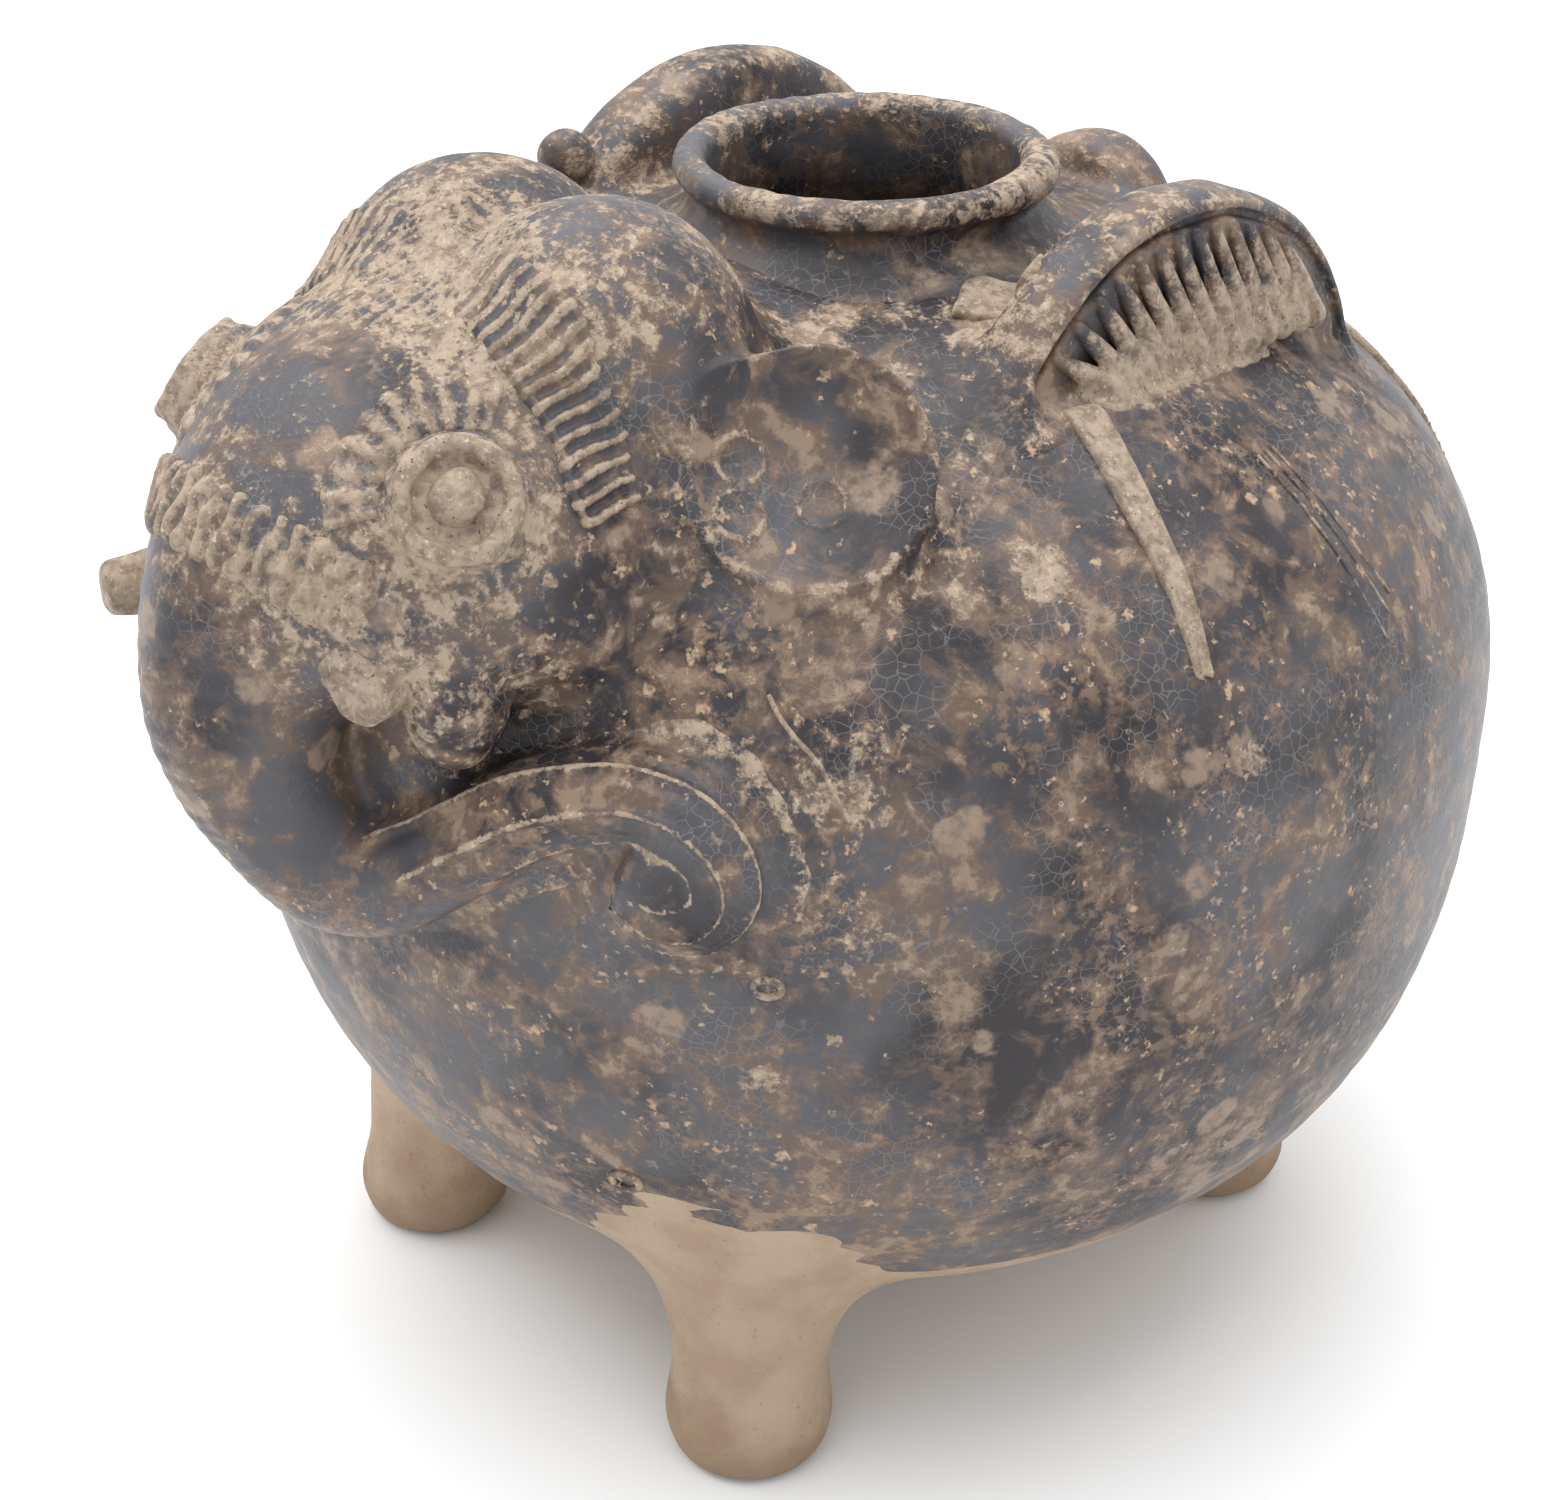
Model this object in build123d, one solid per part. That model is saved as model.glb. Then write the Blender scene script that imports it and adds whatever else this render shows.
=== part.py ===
from build123d import *
import math
import os

# Stoneware lime pot in the form of an elephant, in millimetres.
# The elephant faces -Y, its left side is +X, and it stands on Z = 0.
# While it is built up, the pot's own axis is the Z axis.

# Thrown pot: two bowls joined at the girth
body_radius = 66.0
girth_height = 70.5
bowl_depth = 61.1
shoulder_rise = 47.2
bowl_fullness = 2.7
shoulder_fullness = 2.1
wall = 6.5
floor_thickness = 8.0
outline_steps = 8

# Mouth, neck and rolled rim
mouth_radius = 15.4
neck_wall = 2.1
rim_wall = 3.9
neck_radius = mouth_radius + neck_wall
rim_radius = mouth_radius + rim_wall
rim_rise = 5.9
rim_height = girth_height + shoulder_rise + rim_rise
lip_depth = 2.8
lip_groove = 1.2
lip_undercut = 0.9
neck_flare = 3.6
neck_flare_height = 3.2

# Feet, each a short leg with a bulging pad
foot_spread_front = 27.2
foot_inset_front = 25.5
foot_reach_front = body_radius - foot_inset_front
foot_spread_rear = 28.5
foot_inset_rear = 35.5
foot_reach_rear = body_radius - foot_inset_rear
sole_radius = 7.7
pad_radius = 9.2
pad_height = 3.8
ankle_radius = 8.3
ankle_height = 10.0
thigh_radius = 16.0
thigh_drop = 34.5
thigh_height = girth_height - thigh_drop
thigh_lean = 10.0
knee_slim = 1.6

# Head, an egg of clay let into the front of the pot. What sits on the head
# takes its place from the egg's centre: forward or back of it, above or below.
head_inset = 20.0
head_rise = 27.5
head_center_y = head_inset - body_radius
head_center_z = girth_height + head_rise
head_half_width = 27.2
head_half_length = 33.6
head_crown = 25.2
head_chin = 12.0
dome_radius = 14.8
dome_spread = 8.4
dome_back = 5.0
dome_rise = 16.0
dome_center_y = head_center_y + dome_back
dome_center_z = head_center_z + dome_rise

# Trunk: hangs from the face, bends to the elephant's left and curls on the chest.
# It starts at points (across, forward, above) from the egg's centre. On the chest
# its points are (along the girth, above the girth, off the pot's skin).
trunk_root_radius = 9.4
trunk_tip_radius = 1.3
trunk_taper = 2.4
trunk_sections = 16
trunk_start = [(0, 20.0, 7.0), (0, 28.0, -0.5), (0, 30.4, -9.5), (1.0, 28.0, -20.5)]
trunk_bend = [(6.0, 1.9, 5.4), (12.6, 2.9, 4.6), (19.0, 7.5, 3.6), (25.2, 13.3, 2.4)]
trunk_join = 0.55
curl_turn = [
    (29.6, 16.5, 1.2),
    (34.3, 17.7, 1.0),
    (39.6, 16.9, 1.0),
    (43.8, 14.7, 1.0),
    (46.3, 11.3, 1.0),
    (46.4, 7.5, 1.0),
    (44.0, 4.4, 1.0),
    (39.2, 2.9, 0.9),
    (33.4, 3.7, 0.8),
    (29.2, 6.1, 0.7),
    (28.4, 9.4, 0.6),
    (31.6, 12.1, 0.5),
    (36.8, 12.8, 0.5),
    (40.6, 11.1, 0.4),
    (41.4, 8.7, 0.4),
]

# Tusks, lips and eyes
tusk_spread = 15.0
tusk_forward = 26.2
tusk_drop = 3.4
tusk_y = head_center_y - tusk_forward
tusk_height = head_center_z - tusk_drop
tusk_radius = 3.1
tusk_tip_radius = 2.5
tusk_length = 7.0
tusk_tip_round = 0.7
tusk_stump_radius = 2.8
tusk_stump_length = 1.8
tusk_root = 3.0
tusk_splay = 17.0
lip_spread = 18.0
lip_forward = 19.3
lip_drop = 6.0
lip_y = head_center_y - lip_forward
lip_height = head_center_z - lip_drop
lip_half_width = 4.2
lip_half_length = 4.6
lip_half_height = 6.2
eye_spread = 18.9
eye_forward = 18.6
eye_rise = 12.7
eye_y = head_center_y - eye_forward
eye_height = head_center_z + eye_rise
eye_root = 3.0
eye_boss_radius = 5.8
eye_boss_rise = 1.6
eye_ring_radius = 4.1
eye_ring_roll = 1.05
pellet_radius = 2.5
pellet_rise = 2.9
pellet_round = 1.5

# Notched bands of clay on the head
band_rise = 0.9
rib_radius = 0.75
rib_lift = 0.75
band_core = 1.0
headband_forward = 6.5
headband_y = head_center_y - headband_forward
headband_width = 5.6
headband_first = 22.0
headband_last = 76.0
headband_ribs = 13
noseband_forward = 32.2
noseband_rise = 9.5
noseband_y = head_center_y - noseband_forward
noseband_z = head_center_z + noseband_rise
noseband_tilt = 41.0
noseband_width = 6.4
noseband_half_sweep = 40.0
noseband_ribs = 15
brow_inner = 6.6
brow_outer = 10.6
brow_first = -27.0
brow_last = 95.0
brow_ribs = 9

# Ears, dished discs pressed to the sides of the head
ear_stand_off = 4.8
ear_back = 9.5
ear_rise = 12.0
ear_x = head_half_width + ear_stand_off
ear_y = head_center_y + ear_back
ear_height = head_center_z + ear_rise
ear_azimuth = 48.0
ear_tilt = 33.0
ear_radius = 11.0
ear_dish = 3.6
ear_wall = 2.4
ear_lip = 0.2
ear_bowl_share = 0.62
ear_root_taper = 1.0
ear_root_radius = 6.5
ear_root_depth = 13.0

# Harness rolls on the shoulders with a notched fringe on the outer side
roll_x = 27.5
roll_thickness = 8.6
roll_center_y = 8.5
roll_rise = 27.3
roll_center_z = girth_height + roll_rise
roll_radius = 26.8
roll_edge = 3.8
fringe_drop = 3.6
fringe_web = 0.5
fringe_roll = 1.3
fringe_teeth = 13
fringe_top_front = -14.5
fringe_top_rear = 17.5
fringe_low_front = -12.7
fringe_low_rear = 16.1
fringe_spread = 0.9
fringe_low_rise = 12.4
bead_radius = 2.9
bead_angle = 137.0
bead_sink = 0.9
rear_roll_y = 30.5
rear_roll_thickness = 7.5
rear_roll_radius = 10.2
rear_roll_rise = 36.9
rear_roll_center_z = girth_height + rear_roll_rise
rear_roll_edge = 3.3

# Girth straps, thin tapering strips down the flanks
strap_rise = 0.8
strap_front_azimuth = 77.0
strap_rear_azimuth = 145.0
strap_top_width = 3.6
strap_tip_width = 1.6
strap_top_rise = 39.0
strap_front_tip_rise = 21.0
strap_rear_tip_rise = 15.5

# Tail, a tapering coil with a tuft
tail_top_rise = 30.5
tail_tip_rise = 3.5
tail_root_radius = 3.2
tail_tip_radius = 1.9
tail_tuft_radius = 3.0
tail_sections = 6
tail_seat = 0.8

margin = 200.0
STAND = (Align.CENTER, Align.CENTER, Align.MIN)


def at(x, y, z):
    """Place for a piece, given as a point."""
    return Location((x, y, z))


def half_space(axis, sign, start=0.0):
    """Large block that fills one side of a plane square to an axis."""
    offset = [0.0, 0.0, 0.0]
    offset[axis] = start + sign * margin
    return at(*offset) * Box(2 * margin, 2 * margin, 2 * margin)


def mirror_x(solid):
    """The same piece on the elephant's other side."""
    return mirror(solid, about=Plane.YZ)


def pot_radius(height, grow=0.0):
    """Outer radius of the pot at a height."""
    above = height >= girth_height
    power = shoulder_fullness if above else bowl_fullness
    reach = (shoulder_rise if above else bowl_depth) + grow
    share = min(abs(height - girth_height) / reach, 1.0)
    return (body_radius + grow) * (1.0 - share ** power) ** (1.0 / power)


def half_pot(sign, reach, power, grow=0.0):
    """Solid of the upper (+1) or lower (-1) bowl of the pot."""
    radius = body_radius + grow
    reach = reach + grow
    points = []
    for step in range(outline_steps + 1):
        angle = math.pi / 2 * step / outline_steps
        across = radius * math.cos(angle) ** (2 / power) if step < outline_steps else 0.0
        rise = reach * math.sin(angle) ** (2 / power)
        points.append((across, 0, girth_height + sign * rise))
    curve = Spline(*points, tangents=[(0, 0, sign), (-1, 0, 0)])
    girth = Line((0, 0, girth_height), points[0])
    axis = Line(points[-1], (0, 0, girth_height))
    return revolve(make_face(curve + girth + axis), Axis.Z, 360)


def pot_solid(grow=0.0):
    """The whole pot without its hollow, as a shape to cut against."""
    upper = half_pot(1, shoulder_rise, shoulder_fullness, grow)
    lower = half_pot(-1, bowl_depth, bowl_fullness, grow)
    return upper + lower


def make_bowl():
    outside = half_pot(-1, bowl_depth, bowl_fullness)
    inside = half_pot(-1, bowl_depth - floor_thickness + wall, bowl_fullness, -wall)
    return outside - inside


def make_shoulder():
    outside = half_pot(1, shoulder_rise, shoulder_fullness)
    inside = half_pot(1, shoulder_rise, shoulder_fullness, -wall)
    throat = at(0, 0, girth_height) * extrude(Circle(mouth_radius), margin)
    return outside - inside - throat


def make_neck(pot):
    """Short neck with a rolled rim, undercut by a groove."""
    base = girth_height + shoulder_rise / 2
    lip_low = rim_height - lip_depth
    groove = lip_low - lip_groove
    flare_low = groove - neck_flare_height
    flare_radius = neck_radius + neck_flare
    lip_top = (mouth_radius + rim_radius) / 2
    inner_edge = (mouth_radius, 0, rim_height - lip_depth / 2)
    outer_edge = (rim_radius, 0, rim_height - lip_depth / 2)
    under = (rim_radius - lip_undercut, 0, lip_low)
    neck_top = (neck_radius, 0, groove)
    foot = (flare_radius, 0, flare_low)
    outline = Line((mouth_radius, 0, base), inner_edge)
    crest = (lip_top, 0, rim_height)
    outline += Spline(inner_edge, crest, outer_edge, tangents=[(0, 0, 1), (0, 0, -1)])
    outline += Line(outer_edge, under)
    outline += Line(under, neck_top)
    outline += Spline(neck_top, foot, tangents=[(0, 0, -1), (1, 0, -0.4)])
    outline += Line(foot, (flare_radius, 0, base))
    outline += Line((flare_radius, 0, base), (mouth_radius, 0, base))
    return revolve(make_face(outline), Axis.Z, 360) - pot


def make_foot(side, spread, reach, pot):
    """Leg that leans in under the pot, with a bulging pad cut flat below."""
    length = math.hypot(spread, reach)
    inward = (-side * spread / length, -reach / length)
    knee_height = (ankle_height + thigh_height) / 2
    rings = [
        (0.0, sole_radius, 0.0),
        (pad_height, pad_radius, 0.0),
        (ankle_height, ankle_radius, 0.1),
        (knee_height, (ankle_radius + thigh_radius) / 2 - knee_slim, 0.4),
        (thigh_height, thigh_radius, 1.0),
    ]
    sections = []
    for height, radius, lean in rings:
        x = side * spread + inward[0] * thigh_lean * lean
        y = reach + inward[1] * thigh_lean * lean
        sections.append(Plane(origin=(x, y, height)) * Circle(radius))
    return loft(sections) - pot


def make_egg(grow=0.0):
    """Head form: an egg, taller above its widest line than below it."""
    ball = Sphere(1.0)
    width = head_half_width + grow
    length = head_half_length + grow
    upper = scale(ball & half_space(2, 1), by=(width, length, head_crown + grow))
    lower = scale(ball & half_space(2, -1), by=(width, length, head_chin + grow))
    return at(0, head_center_y, head_center_z) * (upper + lower)


def make_dome(side, grow=0.0):
    """One of the two rounded domes of the forehead, up to the middle line."""
    ball = at(side * dome_spread, dome_center_y, dome_center_z) * Sphere(dome_radius + grow)
    return ball & half_space(0, side)


def on_pot(along, rise, lift):
    """Point over the pot's skin, a length along the girth from the front and above it."""
    azimuth = along / body_radius
    height = girth_height + rise
    radius = pot_radius(height) + lift
    return Vector(math.sin(azimuth) * radius, -math.cos(azimuth) * radius, height)


def trunk_line():
    """Centre line of the trunk, from the face down to the chest and round its curl."""
    points = []
    for across, forward, above in trunk_start:
        points.append((across, head_center_y - forward, head_center_z + above))
    for along, rise, lift in trunk_bend + curl_turn:
        points.append(on_pot(along, rise, lift))
    return Spline(*points)


def trunk_span(line, first, last):
    """Tapering coil of clay along part of the trunk's centre line."""
    sections = []
    for index in range(trunk_sections + 1):
        share = first + (last - first) * index / trunk_sections
        swell = (1 - share) ** trunk_taper
        radius = trunk_tip_radius + (trunk_root_radius - trunk_tip_radius) * swell
        center = line.position_at(share)
        along = line.tangent_at(share)
        outward = Vector(center.X, center.Y, 0).normalized()
        sideways = outward - along * outward.dot(along)
        sections.append(Plane(origin=center, x_dir=sideways, z_dir=along) * Circle(radius))
    return loft(sections)


def make_trunk(egg, pot):
    """The trunk, cut where it is pressed on the face and the chest, in two spans made one."""
    line = trunk_line()
    hanging = trunk_span(line, 0.0, trunk_join) - egg - pot
    curled = trunk_span(line, trunk_join, 1.0) - egg - pot
    return hanging.fuse(curled)


def make_tusk(side, length, tip_radius):
    """Short peg that points forward and a little out from the face."""
    splay = math.radians(tusk_splay)
    forward = Vector(side * math.sin(splay), -math.cos(splay), 0)
    origin = Vector(side * tusk_spread, tusk_y, tusk_height) - forward * tusk_root
    base = Cylinder(tusk_radius, tusk_root, align=STAND)
    peg = at(0, 0, tusk_root) * Cone(tusk_radius, tip_radius, length, align=STAND)
    peg = fillet(peg.edges().group_by(Axis.Z)[-1], tusk_tip_round)
    return Plane(origin=origin, x_dir=(0, 0, 1), z_dir=forward) * (base + peg)


def make_lip(side):
    """Rounded lobe of the lip behind a tusk."""
    lobe = scale(Sphere(1.0), by=(lip_half_width, lip_half_length, lip_half_height))
    return at(side * lip_spread, lip_y, lip_height) * lobe


def eye_plane(side):
    """Plane that touches the head at an eye, its X line pointing up the head."""
    outward = Vector(
        side * eye_spread / head_half_width ** 2,
        (eye_y - head_center_y) / head_half_length ** 2,
        (eye_height - head_center_z) / head_crown ** 2,
    ).normalized()
    up = Vector(0, 0, 1) - outward * outward.Z
    return Plane(origin=(side * eye_spread, eye_y, eye_height), x_dir=up, z_dir=outward)


def make_eye_ring():
    """Raised boss with a rolled ring of clay, open in the middle for the pupil."""
    crest = eye_boss_rise + eye_ring_roll
    points = [
        (pellet_radius, 0, -eye_root),
        (eye_boss_radius, 0, -eye_root),
        (eye_boss_radius, 0, 0),
        (eye_ring_radius + eye_ring_roll, 0, eye_boss_rise),
        (eye_ring_radius, 0, crest),
        (eye_ring_radius - eye_ring_roll, 0, eye_boss_rise),
        (pellet_radius, 0, eye_boss_rise - eye_ring_roll / 2),
    ]
    outline = Polyline(*points[:4])
    outline += ThreePointArc(*points[3:6])
    outline += Polyline(*points[5:], points[0])
    return revolve(make_face(outline), Axis.Z, 360)


def make_pellet():
    """Round pellet of clay for the pupil, set in the eye ring."""
    stem = Cylinder(pellet_radius, eye_root + pellet_rise, align=STAND)
    stem = at(0, 0, -eye_root) * stem
    return fillet(stem.edges().group_by(Axis.Z)[-1], pellet_round)


def sector(plane, first, last, inner, outer, width):
    """Wedge of a thick ring between two angles on a plane."""
    corners = [
        (inner, 0, -width / 2),
        (outer, 0, -width / 2),
        (outer, 0, width / 2),
        (inner, 0, width / 2),
    ]
    solid = revolve(make_face(Polyline(*corners, close=True)), Axis.Z, last - first)
    return plane * (Rotation(0, 0, first) * solid)


def skin_reach(origin, way, center, radii):
    """Distance from a point inside an egg or ball to its skin, along a direction."""
    start = [(o - c) / r for o, c, r in zip(origin, center, radii)]
    step = [w / r for w, r in zip(way, radii)]
    square = sum(q * q for q in step)
    along = sum(p * q for p, q in zip(start, step))
    spread = along * along - square * (sum(p * p for p in start) - 1.0)
    return (-along + math.sqrt(spread)) / square if spread > 0 else 0.0


def egg_point(origin, way):
    """Point on the upper skin of the egg, or of a dome above it, seen from inside."""
    crown = (head_half_width, head_half_length, head_crown)
    reach = skin_reach(origin, way, (0, head_center_y, head_center_z), crown)
    dome = (dome_spread, dome_center_y, dome_center_z)
    reach = max(reach, skin_reach(origin, way, dome, (dome_radius, dome_radius, dome_radius)))
    return Vector(*origin) + way * reach


def bar(first, last, radius):
    """Round bar from one point to another."""
    way = last - first
    return Plane(origin=first, z_dir=way) * Cylinder(radius, way.length, align=STAND)


def make_headband(under, over):
    """Strip up the left side of the head, in front of a dome, with ribs across it."""
    origin = (0, headband_y, head_center_z)
    plane = Plane(origin=origin, x_dir=(1, 0, 0), z_dir=(0, -1, 0))
    region = sector(plane, headband_first, headband_last, band_core, margin, headband_width)
    band = over & region
    pitch = (headband_last - headband_first) / headband_ribs
    half = Vector(0, headband_width / 2, 0)
    bars = []
    for index in range(headband_ribs):
        angle = math.radians(headband_first + pitch * (index + 0.5))
        way = Vector(math.cos(angle), 0, math.sin(angle))
        middle = egg_point(origin, way) + way * rib_lift
        bars.append(bar(middle - half, middle + half, rib_radius))
    return band.fuse(*bars) - under


def make_noseband(under, over):
    """Strip across the root of the trunk, with ribs across it."""
    tilt = math.radians(noseband_tilt)
    back = Vector(0, math.cos(tilt), -math.sin(tilt))
    normal = Vector(0, math.sin(tilt), math.cos(tilt))
    origin = Vector(0, noseband_y, noseband_z) + back * head_half_width
    plane = Plane(origin=origin, x_dir=(1, 0, 0), z_dir=normal)
    first = -90.0 - noseband_half_sweep
    last = -90.0 + noseband_half_sweep
    band = over & sector(plane, first, last, band_core, margin, noseband_width)
    pitch = (last - first) / noseband_ribs
    half = normal * (noseband_width / 2)
    bars = []
    for index in range(noseband_ribs):
        angle = math.radians(first + pitch * (index + 0.5) + 90.0)
        way = Vector(math.sin(angle), 0, 0) - back * math.cos(angle)
        middle = egg_point(origin, way) + way * rib_lift
        bars.append(bar(middle - half, middle + half, rib_radius))
    return band.fuse(*bars) - under


def make_brow(under, over):
    """Fan of ribs over the left eye, from its outer corner round to the nose."""
    plane = eye_plane(1)
    region = sector(plane, brow_first, brow_last, brow_inner, brow_outer, 4 * brow_outer)
    band = over & region
    pitch = (brow_last - brow_first) / brow_ribs
    center = (0, head_center_y, head_center_z)
    bars = []
    for index in range(brow_ribs):
        angle = math.radians(brow_first + pitch * (index + 0.5))
        ends = []
        for reach in (brow_inner, brow_outer):
            spot = plane.from_local_coords((reach * math.cos(angle), reach * math.sin(angle), 0))
            way = (spot - Vector(*center)).normalized()
            ends.append(egg_point(center, way) + way * rib_lift)
        bars.append(bar(ends[0], ends[1], rib_radius))
    return band.fuse(*bars) - under


def make_ear():
    """Dished disc with a thick root behind it, its hollow facing out along Z."""
    points = [
        (0, 0, -ear_dish),
        (ear_radius * ear_bowl_share, 0, -ear_dish * ear_bowl_share),
        (ear_radius, 0, 0),
        (ear_radius + ear_lip, 0, -ear_wall / 2),
        (ear_root_radius, 0, -ear_dish - ear_wall),
        (ear_root_radius - ear_root_taper, 0, -ear_root_depth),
        (0, 0, -ear_root_depth),
    ]
    outline = ThreePointArc(*points[0:3]) + Polyline(*points[2:], points[0])
    return revolve(make_face(outline), Axis.Z, 360)


def ear_plane():
    """Plane of the left ear's rim, facing forward, out and up."""
    azimuth = math.radians(ear_azimuth)
    tilt = math.radians(ear_tilt)
    level = math.cos(tilt)
    outward = (level * math.sin(azimuth), -level * math.cos(azimuth), math.sin(tilt))
    sideways = (math.cos(azimuth), math.sin(azimuth), 0)
    return Plane(origin=(ear_x, ear_y, ear_height), x_dir=sideways, z_dir=outward)


def side_disc(radius, start, thickness):
    """Disc on edge, from one distance to another out from the middle plane."""
    plane = Plane(origin=(start, roll_center_y, roll_center_z), x_dir=(0, 1, 0), z_dir=(1, 0, 0))
    return plane * extrude(Circle(radius), thickness)


def make_roll():
    """Harness roll along the left shoulder, a rounded crest that stands on the pot."""
    disc = side_disc(roll_radius, roll_x, roll_thickness)
    return fillet(disc.edges().filter_by(GeomType.CIRCLE), roll_edge)


def make_fringe(roll):
    """Fringe on the outer side of a harness roll: a thin web with teeth that hang down it."""
    start = roll_x + roll_thickness / 2
    top_x = roll_x + roll_thickness - fringe_roll / 2
    radius = roll_radius - fringe_drop
    fringe = side_disc(radius, start, top_x + fringe_web - start)
    low_x = roll_x + roll_thickness + fringe_spread
    low_z = roll_center_z + fringe_low_rise
    for index in range(fringe_teeth):
        share = index / (fringe_teeth - 1)
        top_y = fringe_top_front + (fringe_top_rear - fringe_top_front) * share
        low_y = fringe_low_front + (fringe_low_rear - fringe_low_front) * share
        top_z = roll_center_z + math.sqrt(radius ** 2 - top_y ** 2)
        top = Vector(top_x, roll_center_y + top_y, top_z - fringe_roll)
        low = Vector(low_x, roll_center_y + low_y, low_z)
        fringe += bar(top, low, fringe_roll) + at(low.X, low.Y, low.Z) * Sphere(fringe_roll)
    return fringe - roll


def make_bead():
    """Round bead pressed on the front end of a harness roll."""
    angle = math.radians(bead_angle)
    reach = roll_radius + bead_radius - bead_sink
    y = roll_center_y + reach * math.cos(angle)
    z = roll_center_z + reach * math.sin(angle)
    return at(-(roll_x + roll_thickness / 2), y, z) * Sphere(bead_radius)


def make_rear_roll():
    """Short roll across the back of the shoulder."""
    origin = (0, rear_roll_y + rear_roll_thickness, rear_roll_center_z)
    plane = Plane(origin=origin, z_dir=(0, -1, 0))
    disc = plane * extrude(Circle(rear_roll_radius), rear_roll_thickness)
    return fillet(disc.edges().filter_by(GeomType.CIRCLE), rear_roll_edge)


def make_strap(azimuth, tip_rise, skin):
    """Thin tapering strip down the pot, in line with its axis."""
    top_height = girth_height + strap_top_rise
    tip_height = girth_height + tip_rise
    half_top = strap_top_width / 2
    half_tip = strap_tip_width / 2
    corners = [
        (-half_top, top_height),
        (half_top, top_height),
        (half_tip, tip_height),
        (-half_tip, tip_height),
    ]
    outline = make_face(Polyline(*corners, close=True))
    radians = math.radians(azimuth)
    outward = (math.sin(radians), -math.cos(radians), 0)
    sideways = (math.cos(radians), math.sin(radians), 0)
    plane = Plane(origin=(0, 0, 0), x_dir=sideways, z_dir=outward)
    return skin & (plane * extrude(outline, margin))


def make_tail(pot):
    """Tail down the back of the pot, with a round tuft at its end."""
    tip_height = girth_height + tail_tip_rise
    sections = []
    for index in range(tail_sections + 1):
        share = index / tail_sections
        height = girth_height + tail_top_rise + (tail_tip_rise - tail_top_rise) * share
        radius = tail_root_radius + (tail_tip_radius - tail_root_radius) * share
        center = Vector(0, pot_radius(height) + tail_seat, height)
        above = Vector(0, pot_radius(height + 1) + tail_seat, height + 1)
        down = (center - above).normalized()
        sections.append(Plane(origin=center, x_dir=(1, 0, 0), z_dir=down) * Circle(radius))
    tuft = at(0, pot_radius(tip_height) + tail_seat, tip_height) * Sphere(tail_tuft_radius)
    return loft(sections) + tuft - pot


pot = pot_solid()
egg = make_egg()
shell = pot + egg
sides = {"left": 1, "right": -1}
parts = {}

parts["body_bowl"] = make_bowl()
parts["body_shoulder"] = make_shoulder()
neck = make_neck(pot)
parts["neck_rim"] = neck
for name, side in sides.items():
    parts[f"foot_front_{name}"] = make_foot(side, foot_spread_front, -foot_reach_front, pot)
    parts[f"foot_rear_{name}"] = make_foot(side, foot_spread_rear, foot_reach_rear, pot)

parts["head"] = egg - pot - neck
for name, side in sides.items():
    parts[f"forehead_{name}"] = make_dome(side) - shell - neck
crown = shell + parts["forehead_left"] + parts["forehead_right"]
over_egg = make_egg(band_rise)
parts["noseband"] = make_noseband(shell, over_egg)
parts["trunk"] = make_trunk(egg, pot) - parts["noseband"]
face = crown + parts["trunk"]

parts["tusk_left"] = make_tusk(1, tusk_stump_length, tusk_stump_radius) - face
parts["tusk_right"] = make_tusk(-1, tusk_length, tusk_tip_radius) - face
for name, side in sides.items():
    parts[f"lip_{name}"] = make_lip(side) - face - parts[f"tusk_{name}"]

over_crown = over_egg + make_dome(1, band_rise) + make_dome(-1, band_rise)
ring = eye_plane(1) * make_eye_ring() - crown - parts["noseband"]
pellet = eye_plane(1) * make_pellet() - crown
brow = make_brow(crown, over_egg) - ring - parts["noseband"]
headband = make_headband(crown, over_crown) - brow - ring
for name, piece in (("eye_ring", ring), ("eye_pellet", pellet), ("brow", brow), ("headband", headband)):
    parts[f"{name}_left"] = piece
    parts[f"{name}_right"] = mirror_x(piece)

ear = ear_plane() * make_ear()
parts["ear_left"] = ear - crown - parts["headband_left"]
parts["ear_right"] = mirror_x(ear) - crown - parts["headband_right"]

roll = make_roll() - pot
fringe = make_fringe(make_roll()) - pot
parts["harness_roll_left"] = roll - crown
parts["harness_roll_right"] = mirror_x(roll) - crown
parts["harness_fringe_left"] = fringe
parts["harness_fringe_right"] = mirror_x(fringe)
parts["harness_roll_rear"] = make_rear_roll() - pot
parts["harness_bead_right"] = make_bead() - parts["harness_roll_right"] - pot
skin = pot_solid(strap_rise) - pot
straps = {
    "front": (strap_front_azimuth, strap_front_tip_rise),
    "rear": (strap_rear_azimuth, strap_rear_tip_rise),
}
for name, (azimuth, tip_rise) in straps.items():
    strap = make_strap(azimuth, tip_rise, skin) - fringe - roll
    parts[f"strap_{name}_left"] = strap
    parts[f"strap_{name}_right"] = mirror_x(strap)
parts["tail"] = make_tail(pot)

low_corner = Vector(1e9, 1e9, 1e9)
high_corner = low_corner * -1
for part in parts.values():
    box = part.bounding_box()
    low_corner = Vector(*(min(a, b) for a, b in zip(low_corner, box.min)))
    high_corner = Vector(*(max(a, b) for a, b in zip(high_corner, box.max)))
middle = (low_corner + high_corner) * 0.5
shift = at(-middle.X, -middle.Y, -low_corner.Z)
print("size", high_corner - low_corner, "pot axis at y", -middle.Y)

os.makedirs("parts", exist_ok=True)
for name, part in parts.items():
    export_step(shift * part, f"parts/{name}.step")
    print(name, len(part.solids()), part.is_valid, round(part.volume, 1))
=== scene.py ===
import math

import bpy
import numpy as np
from mathutils import Matrix, Vector


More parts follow.
